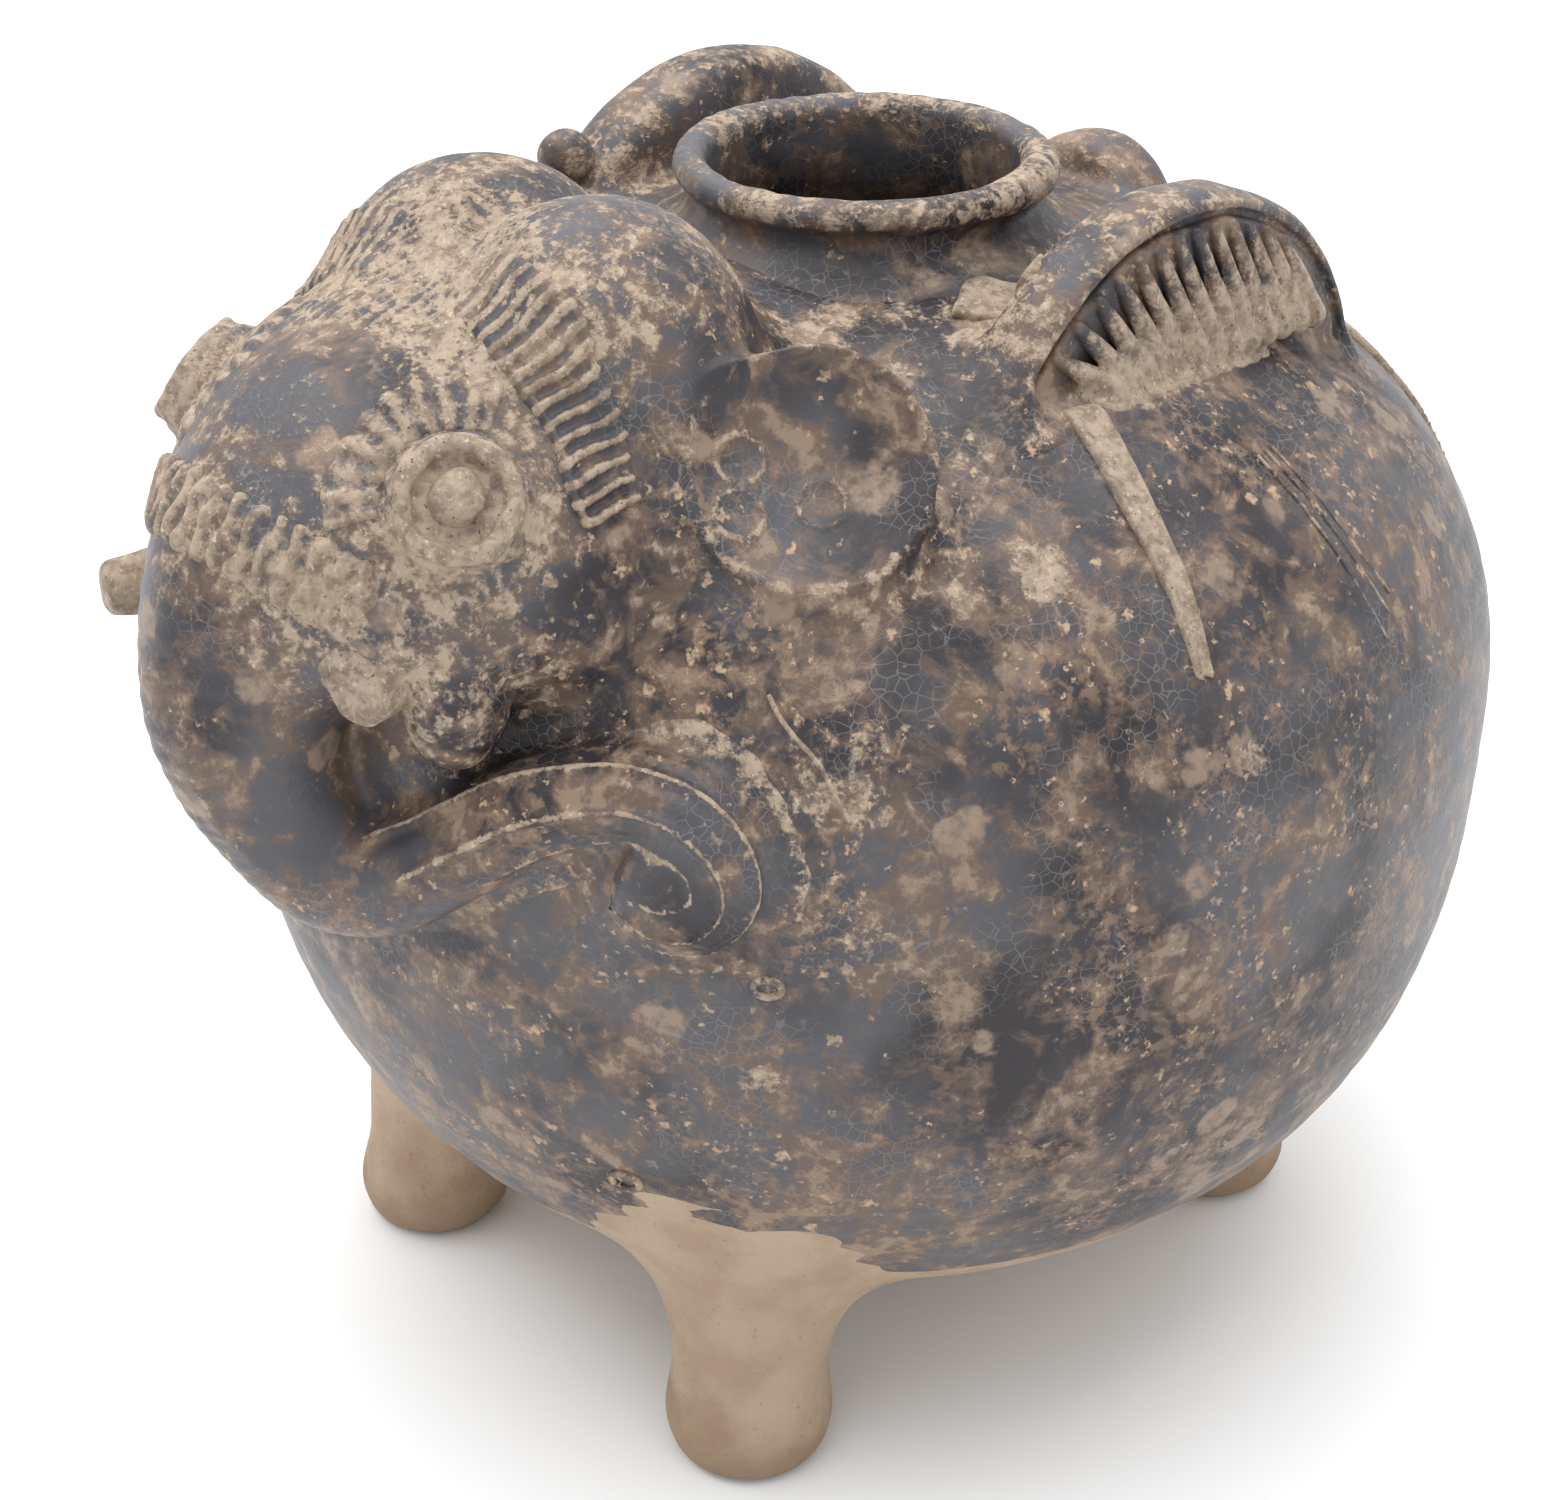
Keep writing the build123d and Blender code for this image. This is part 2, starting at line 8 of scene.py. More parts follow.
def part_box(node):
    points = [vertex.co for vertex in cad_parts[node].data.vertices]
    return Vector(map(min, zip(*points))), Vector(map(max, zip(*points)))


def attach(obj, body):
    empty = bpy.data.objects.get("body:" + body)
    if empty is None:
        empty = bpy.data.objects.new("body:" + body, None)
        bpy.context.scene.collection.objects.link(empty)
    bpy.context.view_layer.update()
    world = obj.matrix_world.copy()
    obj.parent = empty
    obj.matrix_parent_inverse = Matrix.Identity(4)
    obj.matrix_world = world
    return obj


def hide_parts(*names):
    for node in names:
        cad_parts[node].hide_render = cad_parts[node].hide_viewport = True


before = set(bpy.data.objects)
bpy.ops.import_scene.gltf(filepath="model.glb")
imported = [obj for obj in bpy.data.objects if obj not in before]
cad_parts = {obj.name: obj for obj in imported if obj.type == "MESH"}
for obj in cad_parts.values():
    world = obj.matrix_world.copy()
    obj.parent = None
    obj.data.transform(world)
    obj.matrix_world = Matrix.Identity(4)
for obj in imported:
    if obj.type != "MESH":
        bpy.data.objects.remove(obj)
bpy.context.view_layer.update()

MM = 0.001
AXIS_Y = (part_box("body_bowl")[0].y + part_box("body_bowl")[1].y) / 2 / MM

# Camera, where the photograph was taken from: in front of the pot, to its
# left and above it. Lengths in this file are millimetres from the pot's axis
# and floor until a mesh is made.
camera_place = (203.0, -195.07 + AXIS_Y, 211.22)
camera_right = Vector((0.66942, 0.74288, -0.00252))
camera_up = Vector((-0.35823, 0.32578, 0.87495))
camera_back = Vector((0.65081, -0.58480, 0.48421))
bpy.ops.object.camera_add()
camera = bpy.context.object
camera.data.lens = 68.65
camera.data.sensor_width = 36.0
turn = Matrix((camera_right, camera_up, camera_back)).transposed().to_4x4()
camera.matrix_world = Matrix.Translation(Vector(camera_place) * MM) @ turn
camera.data.clip_start = 0.01
bpy.context.scene.camera = camera
bpy.context.scene.view_settings.view_transform = "Standard"


# Glaze and clay. The pot is dipped in a thin iron glaze that fired nearly
# black, broken by tan flecks and a net of fine crazing. It is worn to the
# tan body on raised edges, and the feet and the underside stay bare.
def new_material(name, roughness):
    """Material with its nodes cleared down to a shader and its output."""
    material = bpy.data.materials.new(name)
    material.use_nodes = True
    tree = material.node_tree
    tree.nodes.clear()
    output = tree.nodes.new("ShaderNodeOutputMaterial")
    shader = tree.nodes.new("ShaderNodeBsdfPrincipled")
    shader.inputs["Roughness"].default_value = roughness
    tree.links.new(shader.outputs[0], output.inputs[0])
    return material, tree, shader


def plug(tree, value, socket):
    """Sets a socket to a number or colour, or links it to another socket."""
    if isinstance(value, bpy.types.NodeSocket):
        tree.links.new(value, socket)
    elif isinstance(value, tuple) and socket.type == "RGBA":
        socket.default_value = (*value, 1.0)
    else:
        socket.default_value = value


def math_node(tree, operation, a, b=0.0, c=0.0):
    node = tree.nodes.new("ShaderNodeMath")
    node.operation = operation
    for value, socket in zip((a, b, c), node.inputs):
        plug(tree, value, socket)
    return node.outputs[0]


def vector_node(tree, operation, a, b=(0.0, 0.0, 0.0)):
    node = tree.nodes.new("ShaderNodeVectorMath")
    node.operation = operation
    plug(tree, a, node.inputs[0])
    if operation == "SCALE":
        plug(tree, b, node.inputs["Scale"])
    else:
        plug(tree, b, node.inputs[1])
    return node.outputs["Value" if operation in ("LENGTH", "DISTANCE", "DOT_PRODUCT") else "Vector"]


def mix_node(tree, share, a, b, blend="MIX"):
    """Colour mixed from a to b by a share of 0 to 1."""
    node = tree.nodes.new("ShaderNodeMix")
    node.data_type = "RGBA"
    node.blend_type = blend
    plug(tree, share, node.inputs[0])
    plug(tree, a, node.inputs[6])
    plug(tree, b, node.inputs[7])
    return node.outputs[2]


def ramp(tree, value, low, high, out_low=0.0, out_high=1.0):
    """Smooth step of a value between two levels."""
    node = tree.nodes.new("ShaderNodeMapRange")
    node.interpolation_type = "SMOOTHSTEP"
    for number, socket in zip((value, low, high, out_low, out_high), node.inputs):
        plug(tree, number, socket)
    return node.outputs[0]


def noise_node(tree, place, size, detail=3.0, rough=0.55, warp=0.0):
    """Noise with features of about the given size in millimetres."""
    node = tree.nodes.new("ShaderNodeTexNoise")
    node.inputs["Scale"].default_value = 1.0 / size
    node.inputs["Detail"].default_value = detail
    node.inputs["Roughness"].default_value = rough
    node.inputs["Distortion"].default_value = warp
    tree.links.new(place, node.inputs["Vector"])
    return node.outputs[0]


def cells_node(tree, place, size, feature="F1"):
    node = tree.nodes.new("ShaderNodeTexVoronoi")
    node.feature = feature
    node.inputs["Scale"].default_value = 1.0 / size
    tree.links.new(place, node.inputs["Vector"])
    return node


def glaze(name, worn=0.0, patchy=1.0, tan=0.0, bare_below=None):
    """Brown glaze over tan clay. worn adds wear all over, patchy is how broken
    up the wear is, tan adds tan clouds, and bare_below is the height in
    millimetres under which the clay was left without glaze."""
    material, tree, shader = new_material(name, 0.4)
    shader.inputs["Specular IOR Level"].default_value = 0.3
    source = tree.nodes.new("ShaderNodeTexCoord").outputs["Object"]
    place = vector_node(tree, "SCALE", source, 1.0 / MM)
    attribute = tree.nodes.new("ShaderNodeAttribute")
    attribute.attribute_name = "wear"
    wear = math_node(tree, "ADD", attribute.outputs["Fac"], worn)

    drift = noise_node(tree, place, 26.0, 3.0)
    mottle = noise_node(tree, place, 6.0, 5.0, 0.62, 0.4)
    height = tree.nodes.new("ShaderNodeSeparateXYZ")
    tree.links.new(place, height.inputs[0])
    mottle = math_node(tree, "ADD", mottle, ramp(tree, height.outputs[2], 62.0, 34.0, tan, tan + 0.04))
    speck = noise_node(tree, place, 1.5, 4.0, 0.65, 0.3)
    grit = noise_node(tree, place, 0.5, 3.0, 0.6)
    cluster = ramp(tree, noise_node(tree, place, 11.0, 4.0, 0.6), 0.42, 0.66)

    # thin and thick glaze
    black = (0.03, 0.025, 0.028)
    slate = (0.09, 0.086, 0.094)
    colour = mix_node(tree, ramp(tree, drift, 0.38, 0.6), black, slate)
    brown = math_node(tree, "MULTIPLY", ramp(tree, mottle, 0.47, 0.6), 0.8)
    colour = mix_node(tree, brown, colour, (0.155, 0.1, 0.07))
    haze = ramp(tree, math_node(tree, "ADD", mottle, math_node(tree, "MULTIPLY", speck, 0.5)), 0.82, 0.95)
    colour = mix_node(tree, math_node(tree, "MULTIPLY", haze, 0.75), colour, (0.31, 0.22, 0.155))

    # round tan patches where the glaze crawled back
    bent = vector_node(tree, "ADD", place, vector_node(tree, "SCALE", noise_colour(tree, place, 2.2), 4.0))
    patch = cells_node(tree, bent, 9.0)
    round_patch = ramp(tree, patch.outputs["Distance"], 0.27, 0.17)
    chosen = ramp(tree, separate(tree, patch.outputs["Color"]), 0.6, 0.64)
    round_patch = math_node(tree, "MULTIPLY", math_node(tree, "MULTIPLY", round_patch, chosen), ramp(tree, speck, 0.3, 0.6, 0.3, 0.9))
    colour = mix_node(tree, round_patch, colour, (0.31, 0.22, 0.16))

    # crazing, hairlines in cells of about a millimetre and a half
    wander = vector_node(tree, "ADD", place, vector_node(tree, "SCALE", noise_colour(tree, place, 1.6), 0.5))
    crack = cells_node(tree, wander, 1.25, "DISTANCE_TO_EDGE").outputs["Distance"]
    fine = ramp(tree, crack, 0.05, 0.012)
    where = ramp(tree, noise_node(tree, place, 10.0, 3.0), 0.45, 0.62)
    crazing = math_node(tree, "MULTIPLY", math_node(tree, "MULTIPLY", fine, where), 0.38)
    colour = mix_node(tree, crazing, colour, (0.27, 0.25, 0.235))

    # crumbs of tan clay that came through the glaze, thick in some places
    crumbs = math_node(tree, "MAXIMUM", flecks(tree, place, 0.95, cluster), flecks(tree, place, 2.2, cluster))
    halo = math_node(tree, "MULTIPLY", ramp(tree, speck, 0.47, 0.62), cluster)
    colour = mix_node(tree, math_node(tree, "MULTIPLY", halo, 0.85), colour, (0.23, 0.15, 0.1))
    colour = mix_node(tree, crumbs, colour, mix_node(tree, grit, (0.2, 0.12, 0.07), (0.66, 0.48, 0.33)))
    white = flecks(tree, vector_node(tree, "ADD", place, (31.0, 17.0, 5.0)), 1.5, -0.1)
    colour = mix_node(tree, white, colour, (0.55, 0.55, 0.53))

    # worn edges and dusty hollows
    rubbed = math_node(tree, "ADD", wear, math_node(tree, "MULTIPLY", math_node(tree, "SUBTRACT", mottle, 0.5), 1.1 * patchy))
    rubbed = math_node(tree, "ADD", rubbed, math_node(tree, "MULTIPLY", math_node(tree, "SUBTRACT", speck, 0.5), 1.6 * patchy))
    rubbed = math_node(tree, "ADD", rubbed, math_node(tree, "MULTIPLY", math_node(tree, "SUBTRACT", grit, 0.5), 0.7 * patchy))
    rubbed = ramp(tree, rubbed, 0.3, 0.66)
    clay = mix_node(tree, ramp(tree, speck, 0.36, 0.62), (0.235, 0.172, 0.125), (0.41, 0.315, 0.235))
    clay = mix_node(tree, ramp(tree, grit, 0.58, 0.7), clay, (0.54, 0.43, 0.325))
    clay = mix_node(tree, ramp(tree, grit, 0.38, 0.28), clay, (0.1, 0.072, 0.053))
    colour = mix_node(tree, math_node(tree, "MULTIPLY", rubbed, 0.92), colour, clay)
    matte = math_node(tree, "MAXIMUM", rubbed, crumbs)

    if bare_below is not None:
        edge = math_node(tree, "SUBTRACT", noise_node(tree, place, 16.0, 4.0, 0.5), 0.5)
        level = math_node(tree, "ADD", height.outputs[2], math_node(tree, "MULTIPLY", edge, 8.0))
        for spot in glaze_drips:
            away = vector_node(tree, "DISTANCE", place, (spot[0], spot[1] + AXIS_Y, spot[2]))
            level = math_node(tree, "ADD", level, ramp(tree, away, 4.2, 1.5, 0.0, 5.0))
        level = math_node(tree, "SUBTRACT", level, bare_below)
        bare = ramp(tree, level, 0.35, -0.35)
        body = mix_node(tree, ramp(tree, noise_node(tree, place, 7.0, 4.0), 0.35, 0.65), (0.36, 0.25, 0.165), (0.42, 0.31, 0.215))
        colour = mix_node(tree, bare, colour, body)
        matte = math_node(tree, "MAXIMUM", matte, bare)

    plug(tree, colour, shader.inputs["Base Color"])
    rough = math_node(tree, "ADD", math_node(tree, "MULTIPLY", matte, 0.38), math_node(tree, "MULTIPLY", grit, 0.16))
    plug(tree, math_node(tree, "ADD", rough, 0.3), shader.inputs["Roughness"])

    relief = math_node(tree, "MULTIPLY", speck, math_node(tree, "ADD", math_node(tree, "MULTIPLY", rubbed, 0.5), 0.25))
    relief = math_node(tree, "ADD", relief, math_node(tree, "MULTIPLY", grit, 0.15))
    relief = math_node(tree, "ADD", relief, math_node(tree, "MULTIPLY", crumbs, 0.16))
    relief = math_node(tree, "SUBTRACT", relief, math_node(tree, "MULTIPLY", fine, 0.03))
    bump = tree.nodes.new("ShaderNodeBump")
    bump.inputs["Strength"].default_value = 0.7
    bump.inputs["Distance"].default_value = 0.45 * MM
    tree.links.new(relief, bump.inputs["Height"])
    tree.links.new(bump.outputs[0], shader.inputs["Normal"])
    return material


def flecks(tree, place, size, cluster):
    """Small crumbs scattered about a cell apart, more of them where they cluster."""
    bent = vector_node(tree, "ADD", place, vector_node(tree, "SCALE", noise_colour(tree, place, size * 0.4), size * 1.2))
    cells = cells_node(tree, bent, size)
    kept = math_node(tree, "ADD", separate(tree, cells.outputs["Color"]), math_node(tree, "MULTIPLY", cluster, 0.42))
    kept = ramp(tree, kept, 0.94, 1.04)
    spot = ramp(tree, cells.outputs["Distance"], 0.34, 0.12)
    return math_node(tree, "MULTIPLY", kept, spot)


def noise_colour(tree, place, size):
    """Noise in three channels about zero, to bend a pattern with."""
    node = tree.nodes.new("ShaderNodeTexNoise")
    node.inputs["Scale"].default_value = 1.0 / size
    node.inputs["Detail"].default_value = 2.0
    tree.links.new(place, node.inputs["Vector"])
    return vector_node(tree, "SUBTRACT", node.outputs["Color"], (0.5, 0.5, 0.5))


def separate(tree, colour):
    node = tree.nodes.new("ShaderNodeSeparateColor")
    tree.links.new(colour, node.inputs[0])
    return node.outputs[0]


glaze_drips = ((31.5, -42.0, 24.0), (4.0, -60.5, 33.0), (55.0, 6.0, 25.0))
pot_glaze = glaze("pot_glaze", bare_below=27.0)
head_glaze = glaze("head_glaze", worn=0.06, tan=0.025)
worn_glaze = glaze("worn_glaze", worn=0.2, patchy=0.6, tan=0.03)
torn_clay = glaze("torn_clay", worn=0.8, patchy=0.7)


def bare_clay():
    """Unglazed stoneware, tan, and browner towards the bottom of the feet."""
    material, tree, shader = new_material("bare_clay", 0.8)
    source = tree.nodes.new("ShaderNodeTexCoord").outputs["Object"]
    place = vector_node(tree, "SCALE", source, 1.0 / MM)
    height = tree.nodes.new("ShaderNodeSeparateXYZ")
    tree.links.new(place, height.inputs[0])
    cloud = noise_node(tree, place, 8.0, 4.0)
    grain = noise_node(tree, place, 0.7, 4.0, 0.65)
    colour = mix_node(tree, ramp(tree, cloud, 0.35, 0.65), (0.36, 0.25, 0.165), (0.43, 0.32, 0.22))
    # Browner towards the floor, over the lowest 9 to 19 mm of each foot.
    low = ramp(tree, math_node(tree, "ADD", height.outputs[2], math_node(tree, "MULTIPLY", cloud, 14.0)), 19.0, 9.0)
    colour = mix_node(tree, math_node(tree, "MULTIPLY", low, 0.7), colour, (0.26, 0.165, 0.1))
    pit = ramp(tree, grain, 0.62, 0.72)
    colour = mix_node(tree, math_node(tree, "MULTIPLY", pit, 0.6), colour, (0.16, 0.1, 0.06))
    plug(tree, colour, shader.inputs["Base Color"])
    bump = tree.nodes.new("ShaderNodeBump")
    bump.inputs["Strength"].default_value = 0.5
    bump.inputs["Distance"].default_value = 0.5 * MM
    tree.links.new(math_node(tree, "ADD", grain, math_node(tree, "MULTIPLY", cloud, 0.5)), bump.inputs["Height"])
    tree.links.new(bump.outputs[0], shader.inputs["Normal"])
    return material


clay = bare_clay()


# Thrown pot, one wall from the floor to the throat. It was thrown on a wheel
# in two bowls joined at the girth, so faint rings run round it, and it is a
# little out of round.
body_radius = 66.0
girth = 70.5
bowl_depth = 61.1
shoulder_rise = 47.2
bowl_power = 2.7
shoulder_power = 2.1
wall = 6.5
floor_thickness = 8.0
mouth_radius = 15.4


def pot_point(angle, grow=0.0, deeper=0.0):
    """Radius and height on the pot's outline, from -90 at the base to 90 at the top."""
    radians = math.radians(abs(angle))
    power = shoulder_power if angle >= 0 else bowl_power
    reach = (shoulder_rise if angle >= 0 else bowl_depth - deeper) + grow
    radius = (body_radius + grow) * max(math.cos(radians), 0.0) ** (2 / power)
    rise = reach * math.sin(radians) ** (2 / power)
    return radius, girth + math.copysign(rise, angle)


def mesh_object(name, points, faces):
    """Object with its place in its mesh, from points in millimetres."""
    mesh = bpy.data.meshes.new(name)
    placed = (np.asarray(points) + (0.0, AXIS_Y, 0.0)) * MM
    mesh.from_pydata(placed.tolist(), [], faces)
    piece = bpy.data.objects.new(name, mesh)
    bpy.context.collection.objects.link(piece)
    return piece


def only(piece):
    """Selects one piece and nothing else."""
    bpy.ops.object.select_all(action="DESELECT")
    piece.select_set(True)
    bpy.context.view_layer.objects.active = piece


def spun(name, outline, steps):
    """Closed outline of (radius, height) points spun once round the pot's axis."""
    points = [(radius, 0.0, height) for radius, height in outline]
    mesh = bpy.data.meshes.new(name)
    placed = (np.asarray(points) + (0.0, AXIS_Y, 0.0)) * MM
    edges = [(i, i + 1) for i in range(len(points) - 1)]
    if outline[0][0] > 0:
        edges.append((len(points) - 1, 0))
    mesh.from_pydata(placed.tolist(), edges, [])
    piece = bpy.data.objects.new(name, mesh)
    bpy.context.collection.objects.link(piece)
    only(piece)
    bpy.ops.object.mode_set(mode="EDIT")
    bpy.ops.mesh.select_all(action="SELECT")
    bpy.ops.mesh.spin(steps=steps, angle=math.tau, center=(0, AXIS_Y * MM, 0), axis=(0, 0, 1))
    bpy.ops.mesh.select_all(action="SELECT")
    bpy.ops.mesh.remove_doubles(threshold=0.01 * MM)
    bpy.ops.mesh.normals_make_consistent(inside=False)
    bpy.ops.object.mode_set(mode="OBJECT")
    return piece


def vertices(piece):
    """Points of a piece's mesh, in millimetres from the pot's axis and floor."""
    points = np.empty(len(piece.data.vertices) * 3)
    piece.data.vertices.foreach_get("co", points)
    return points.reshape(-1, 3) / MM - (0.0, AXIS_Y, 0.0)


def normals(piece):
    ways = np.empty(len(piece.data.vertices) * 3)
    piece.data.vertices.foreach_get("normal", ways)
    return ways.reshape(-1, 3)


def move_vertices(piece, points):
    placed = (points + (0.0, AXIS_Y, 0.0)) * MM
    piece.data.vertices.foreach_set("co", placed.ravel())
    piece.data.update()


lattice = np.random.default_rng(11).uniform(-1.0, 1.0, (32, 32, 32))


def lumps(points, size):
    """Smooth lumps of about the given size, from -1 to 1."""
    spot = np.asarray(points) / size + 7.3
    base = np.floor(spot).astype(int)
    part = spot - base
    part = part * part * (3 - 2 * part)
    total = 0.0
    for corner in np.ndindex(2, 2, 2):
        weight = np.prod(np.where(corner, part, 1 - part), axis=-1)
        index = (base + corner) % 32
        total = total + weight * lattice[index[..., 0], index[..., 1], index[..., 2]]
    return total


def roughen(piece, depth, size, bias=-1.0):
    """Presses soft lumps into a piece's skin; a bias of -1 only lowers it."""
    points = vertices(piece)
    amount = (lumps(points, size) + bias) * depth / 2
    move_vertices(piece, points + normals(piece) * amount[:, None])


def set_wear(piece, values):
    """Wear of the glaze at each vertex, 1 for bare, 0 for whole, less where glaze pooled."""
    layer = piece.data.attributes.new("wear", "FLOAT", "POINT")
    layer.data.foreach_set("value", np.clip(values, -1.0, 1.0).astype(np.float32))


def finish_piece(piece, material, slot, *nodes):
    """Smooth shading, finish, and the nodes that the piece stands for."""
    piece.data.materials.append(material)
    only(piece)
    bpy.ops.object.shade_smooth()
    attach(piece, "root")
    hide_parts(*nodes)


outside_rows = 150
inside_rows = 36
throat_angle = 76.8
outline = []
for row in range(outside_rows + 1):
    outline.append(pot_point(-90 + (90 + throat_angle) * row / outside_rows))
outline[0] = (0.0, outline[0][1])
outline.append((mouth_radius, outline[-1][1]))
for row in range(inside_rows + 1):
    angle = 74.2 - (90 + 74.2) * row / inside_rows
    outline.append(pot_point(angle, -wall, floor_thickness - wall))
outline[-1] = (0.0, outline[-1][1])
pot_wall = spun("pot_wall", outline, 384)
points = vertices(pot_wall)
out = normals(pot_wall)
rings = np.sin(points[:, 2] * 1.9 + 0.8 * lumps(points, 30.0)) * 0.05
press = 0.22 * (lumps(points, 26.0) - 1) + 0.1 * (lumps(points, 7.0) - 1) + rings
move_vertices(pot_wall, points + out * press[:, None])
pot_spots = (
    (46.8, -22.8, 100.6, 2.9, 0.85),
    (46.9, -26.0, 97.4, 1.4, 0.7),
    (62.5, -11.2, 84.3, 2.0, 0.8),
    (42.8, -46.4, 85.3, 2.0, 0.6),
    (41.1, -51.1, 57.5, 2.2, 0.5),
    (39.5, -35.4, 99.6, 1.6, 0.8),
    (34.3, -38.9, 100.8, 1.8, 0.8),
    (37.0, 2.0, 109.0, 6.0, 0.35),
    (20.0, -8.0, 114.0, 9.0, 0.4),
    (30.0, -18.0, 110.0, 9.0, 0.35),
    (38.0, -30.0, 101.0, 8.0, 0.3),
    (27.0, -50.0, 90.0, 7.0, 0.4),
    (44.0, -44.0, 88.0, 6.0, 0.3),
    (47.0, -46.0, 72.0, 5.0, 0.35),
    (34.0, -50.0, 30.0, 6.0, 0.35),
    (10.0, -8.0, 116.0, 12.0, 0.2),
)
wear = np.zeros(len(points))
for x, y, z, reach, amount in pot_spots:
    away = (points[:, 0] - x) ** 2 + (points[:, 1] - y) ** 2 + (points[:, 2] - z) ** 2
    wear = np.maximum(wear, amount * np.exp(-(away / reach ** 2) ** 2))
set_wear(pot_wall, wear)
finish_piece(pot_wall, pot_glaze, "brown_glaze", "body_bowl", "body_shoulder")


# Neck and rim. The neck is short, with a rolled rim over a groove, and a
# gritty crust of ash lies on the rim.
def arc(center, radius, first, last, count):
    """Points round part of a circle in an outline."""
    made = []
    for step in range(count + 1):
        angle = math.radians(first + (last - first) * step / count)
        made.append((center[0] + radius * math.cos(angle), center[1] + radius * math.sin(angle)))
    return made


neck_outline = [(mouth_radius, 112.0), (mouth_radius, 119.0), (mouth_radius, 121.4)]
neck_outline += arc((17.1, 121.7), 1.7, 170, 90, 5)
neck_outline += arc((17.6, 121.8), 1.6, 80, -40, 8)
neck_outline += [(18.0, 120.2), (17.5, 119.5), (17.55, 118.7), (18.1, 117.7), (19.4, 116.7), (21.4, 115.5), (23.4, 113.6), (23.0, 111.5)]
neck_rim = spun("neck_rim", neck_outline, 288)
roughen(neck_rim, 0.45, 9.0, 0.0)
roughen(neck_rim, 0.22, 1.3, 0.0)
points = vertices(neck_rim)
crust = np.interp(points[:, 2], (113.5, 117.0, 119.0, 120.2, 121.2), (0.1, 0.1, -0.05, 0.0, 0.42))
inside = np.hypot(points[:, 0], points[:, 1]) < mouth_radius + 0.6
set_wear(neck_rim, np.where(inside, np.interp(points[:, 2], (119.5, 122.5), (-0.15, 0.35)), crust) + 0.25 * lumps(points, 9.0))
finish_piece(neck_rim, head_glaze, "ash_crusted_glaze", "neck_rim")


# Modelled clay. The head, trunk, feet and trimmings are lumps and coils of
# soft clay pressed on the pot, with their edges smeared down. Each is given
# as its distance from a point in space, and meshed on a fine grid.
def smear(a, b, soft):
    """Two lumps of clay run together."""
    share = np.clip(0.5 + 0.5 * (b - a) / soft, 0.0, 1.0)
    return b + (a - b) * share - soft * share * (1 - share)


def carve(a, b, soft):
    """What two lumps have in common, with its edges softened."""
    return -smear(-a, -b, soft)


def pot_skin(x, y, z):
    """Distance out from the pot's skin."""
    across = np.sqrt(x * x + y * y) / body_radius
    above = z >= girth
    reach = np.where(above, shoulder_rise, bowl_depth)
    power = np.where(above, shoulder_power, bowl_power)
    rise = np.abs(z - girth) / reach + 1e-6
    across = across + 1e-6
    total = across ** power + rise ** power
    level = total ** (1 / power)
    scale = total ** (1 / power - 1)
    slope = np.hypot(scale * across ** (power - 1) / body_radius, scale * rise ** (power - 1) / reach)
    return (level - 1) / slope


def ball(x, y, z, center, radii):
    """Distance out from an egg of clay."""
    p = [(axis - place) / radius for axis, place, radius in zip((x, y, z), center, radii)]
    q = [part / radius for part, radius in zip(p, radii)]
    near = np.sqrt(p[0] ** 2 + p[1] ** 2 + p[2] ** 2)
    slope = np.sqrt(q[0] ** 2 + q[1] ** 2 + q[2] ** 2) + 1e-9
    return near * (near - 1) / slope


def luted(form, skin, soft, reach, depth=3.0, sink=1.0):
    """A form smeared on to the skin under it, with its outer edge let in below that skin."""
    fade = np.clip((form - 0.7 * soft) / (reach - 0.7 * soft), 0.0, 1.0)
    joined = smear(form, skin + sink * fade * fade + 0.02, soft)
    return np.maximum(np.maximum(joined, form - reach), -(skin + depth))


CORNERS = [(i, j, k) for i in (0, 1) for j in (0, 1) for k in (0, 1)]


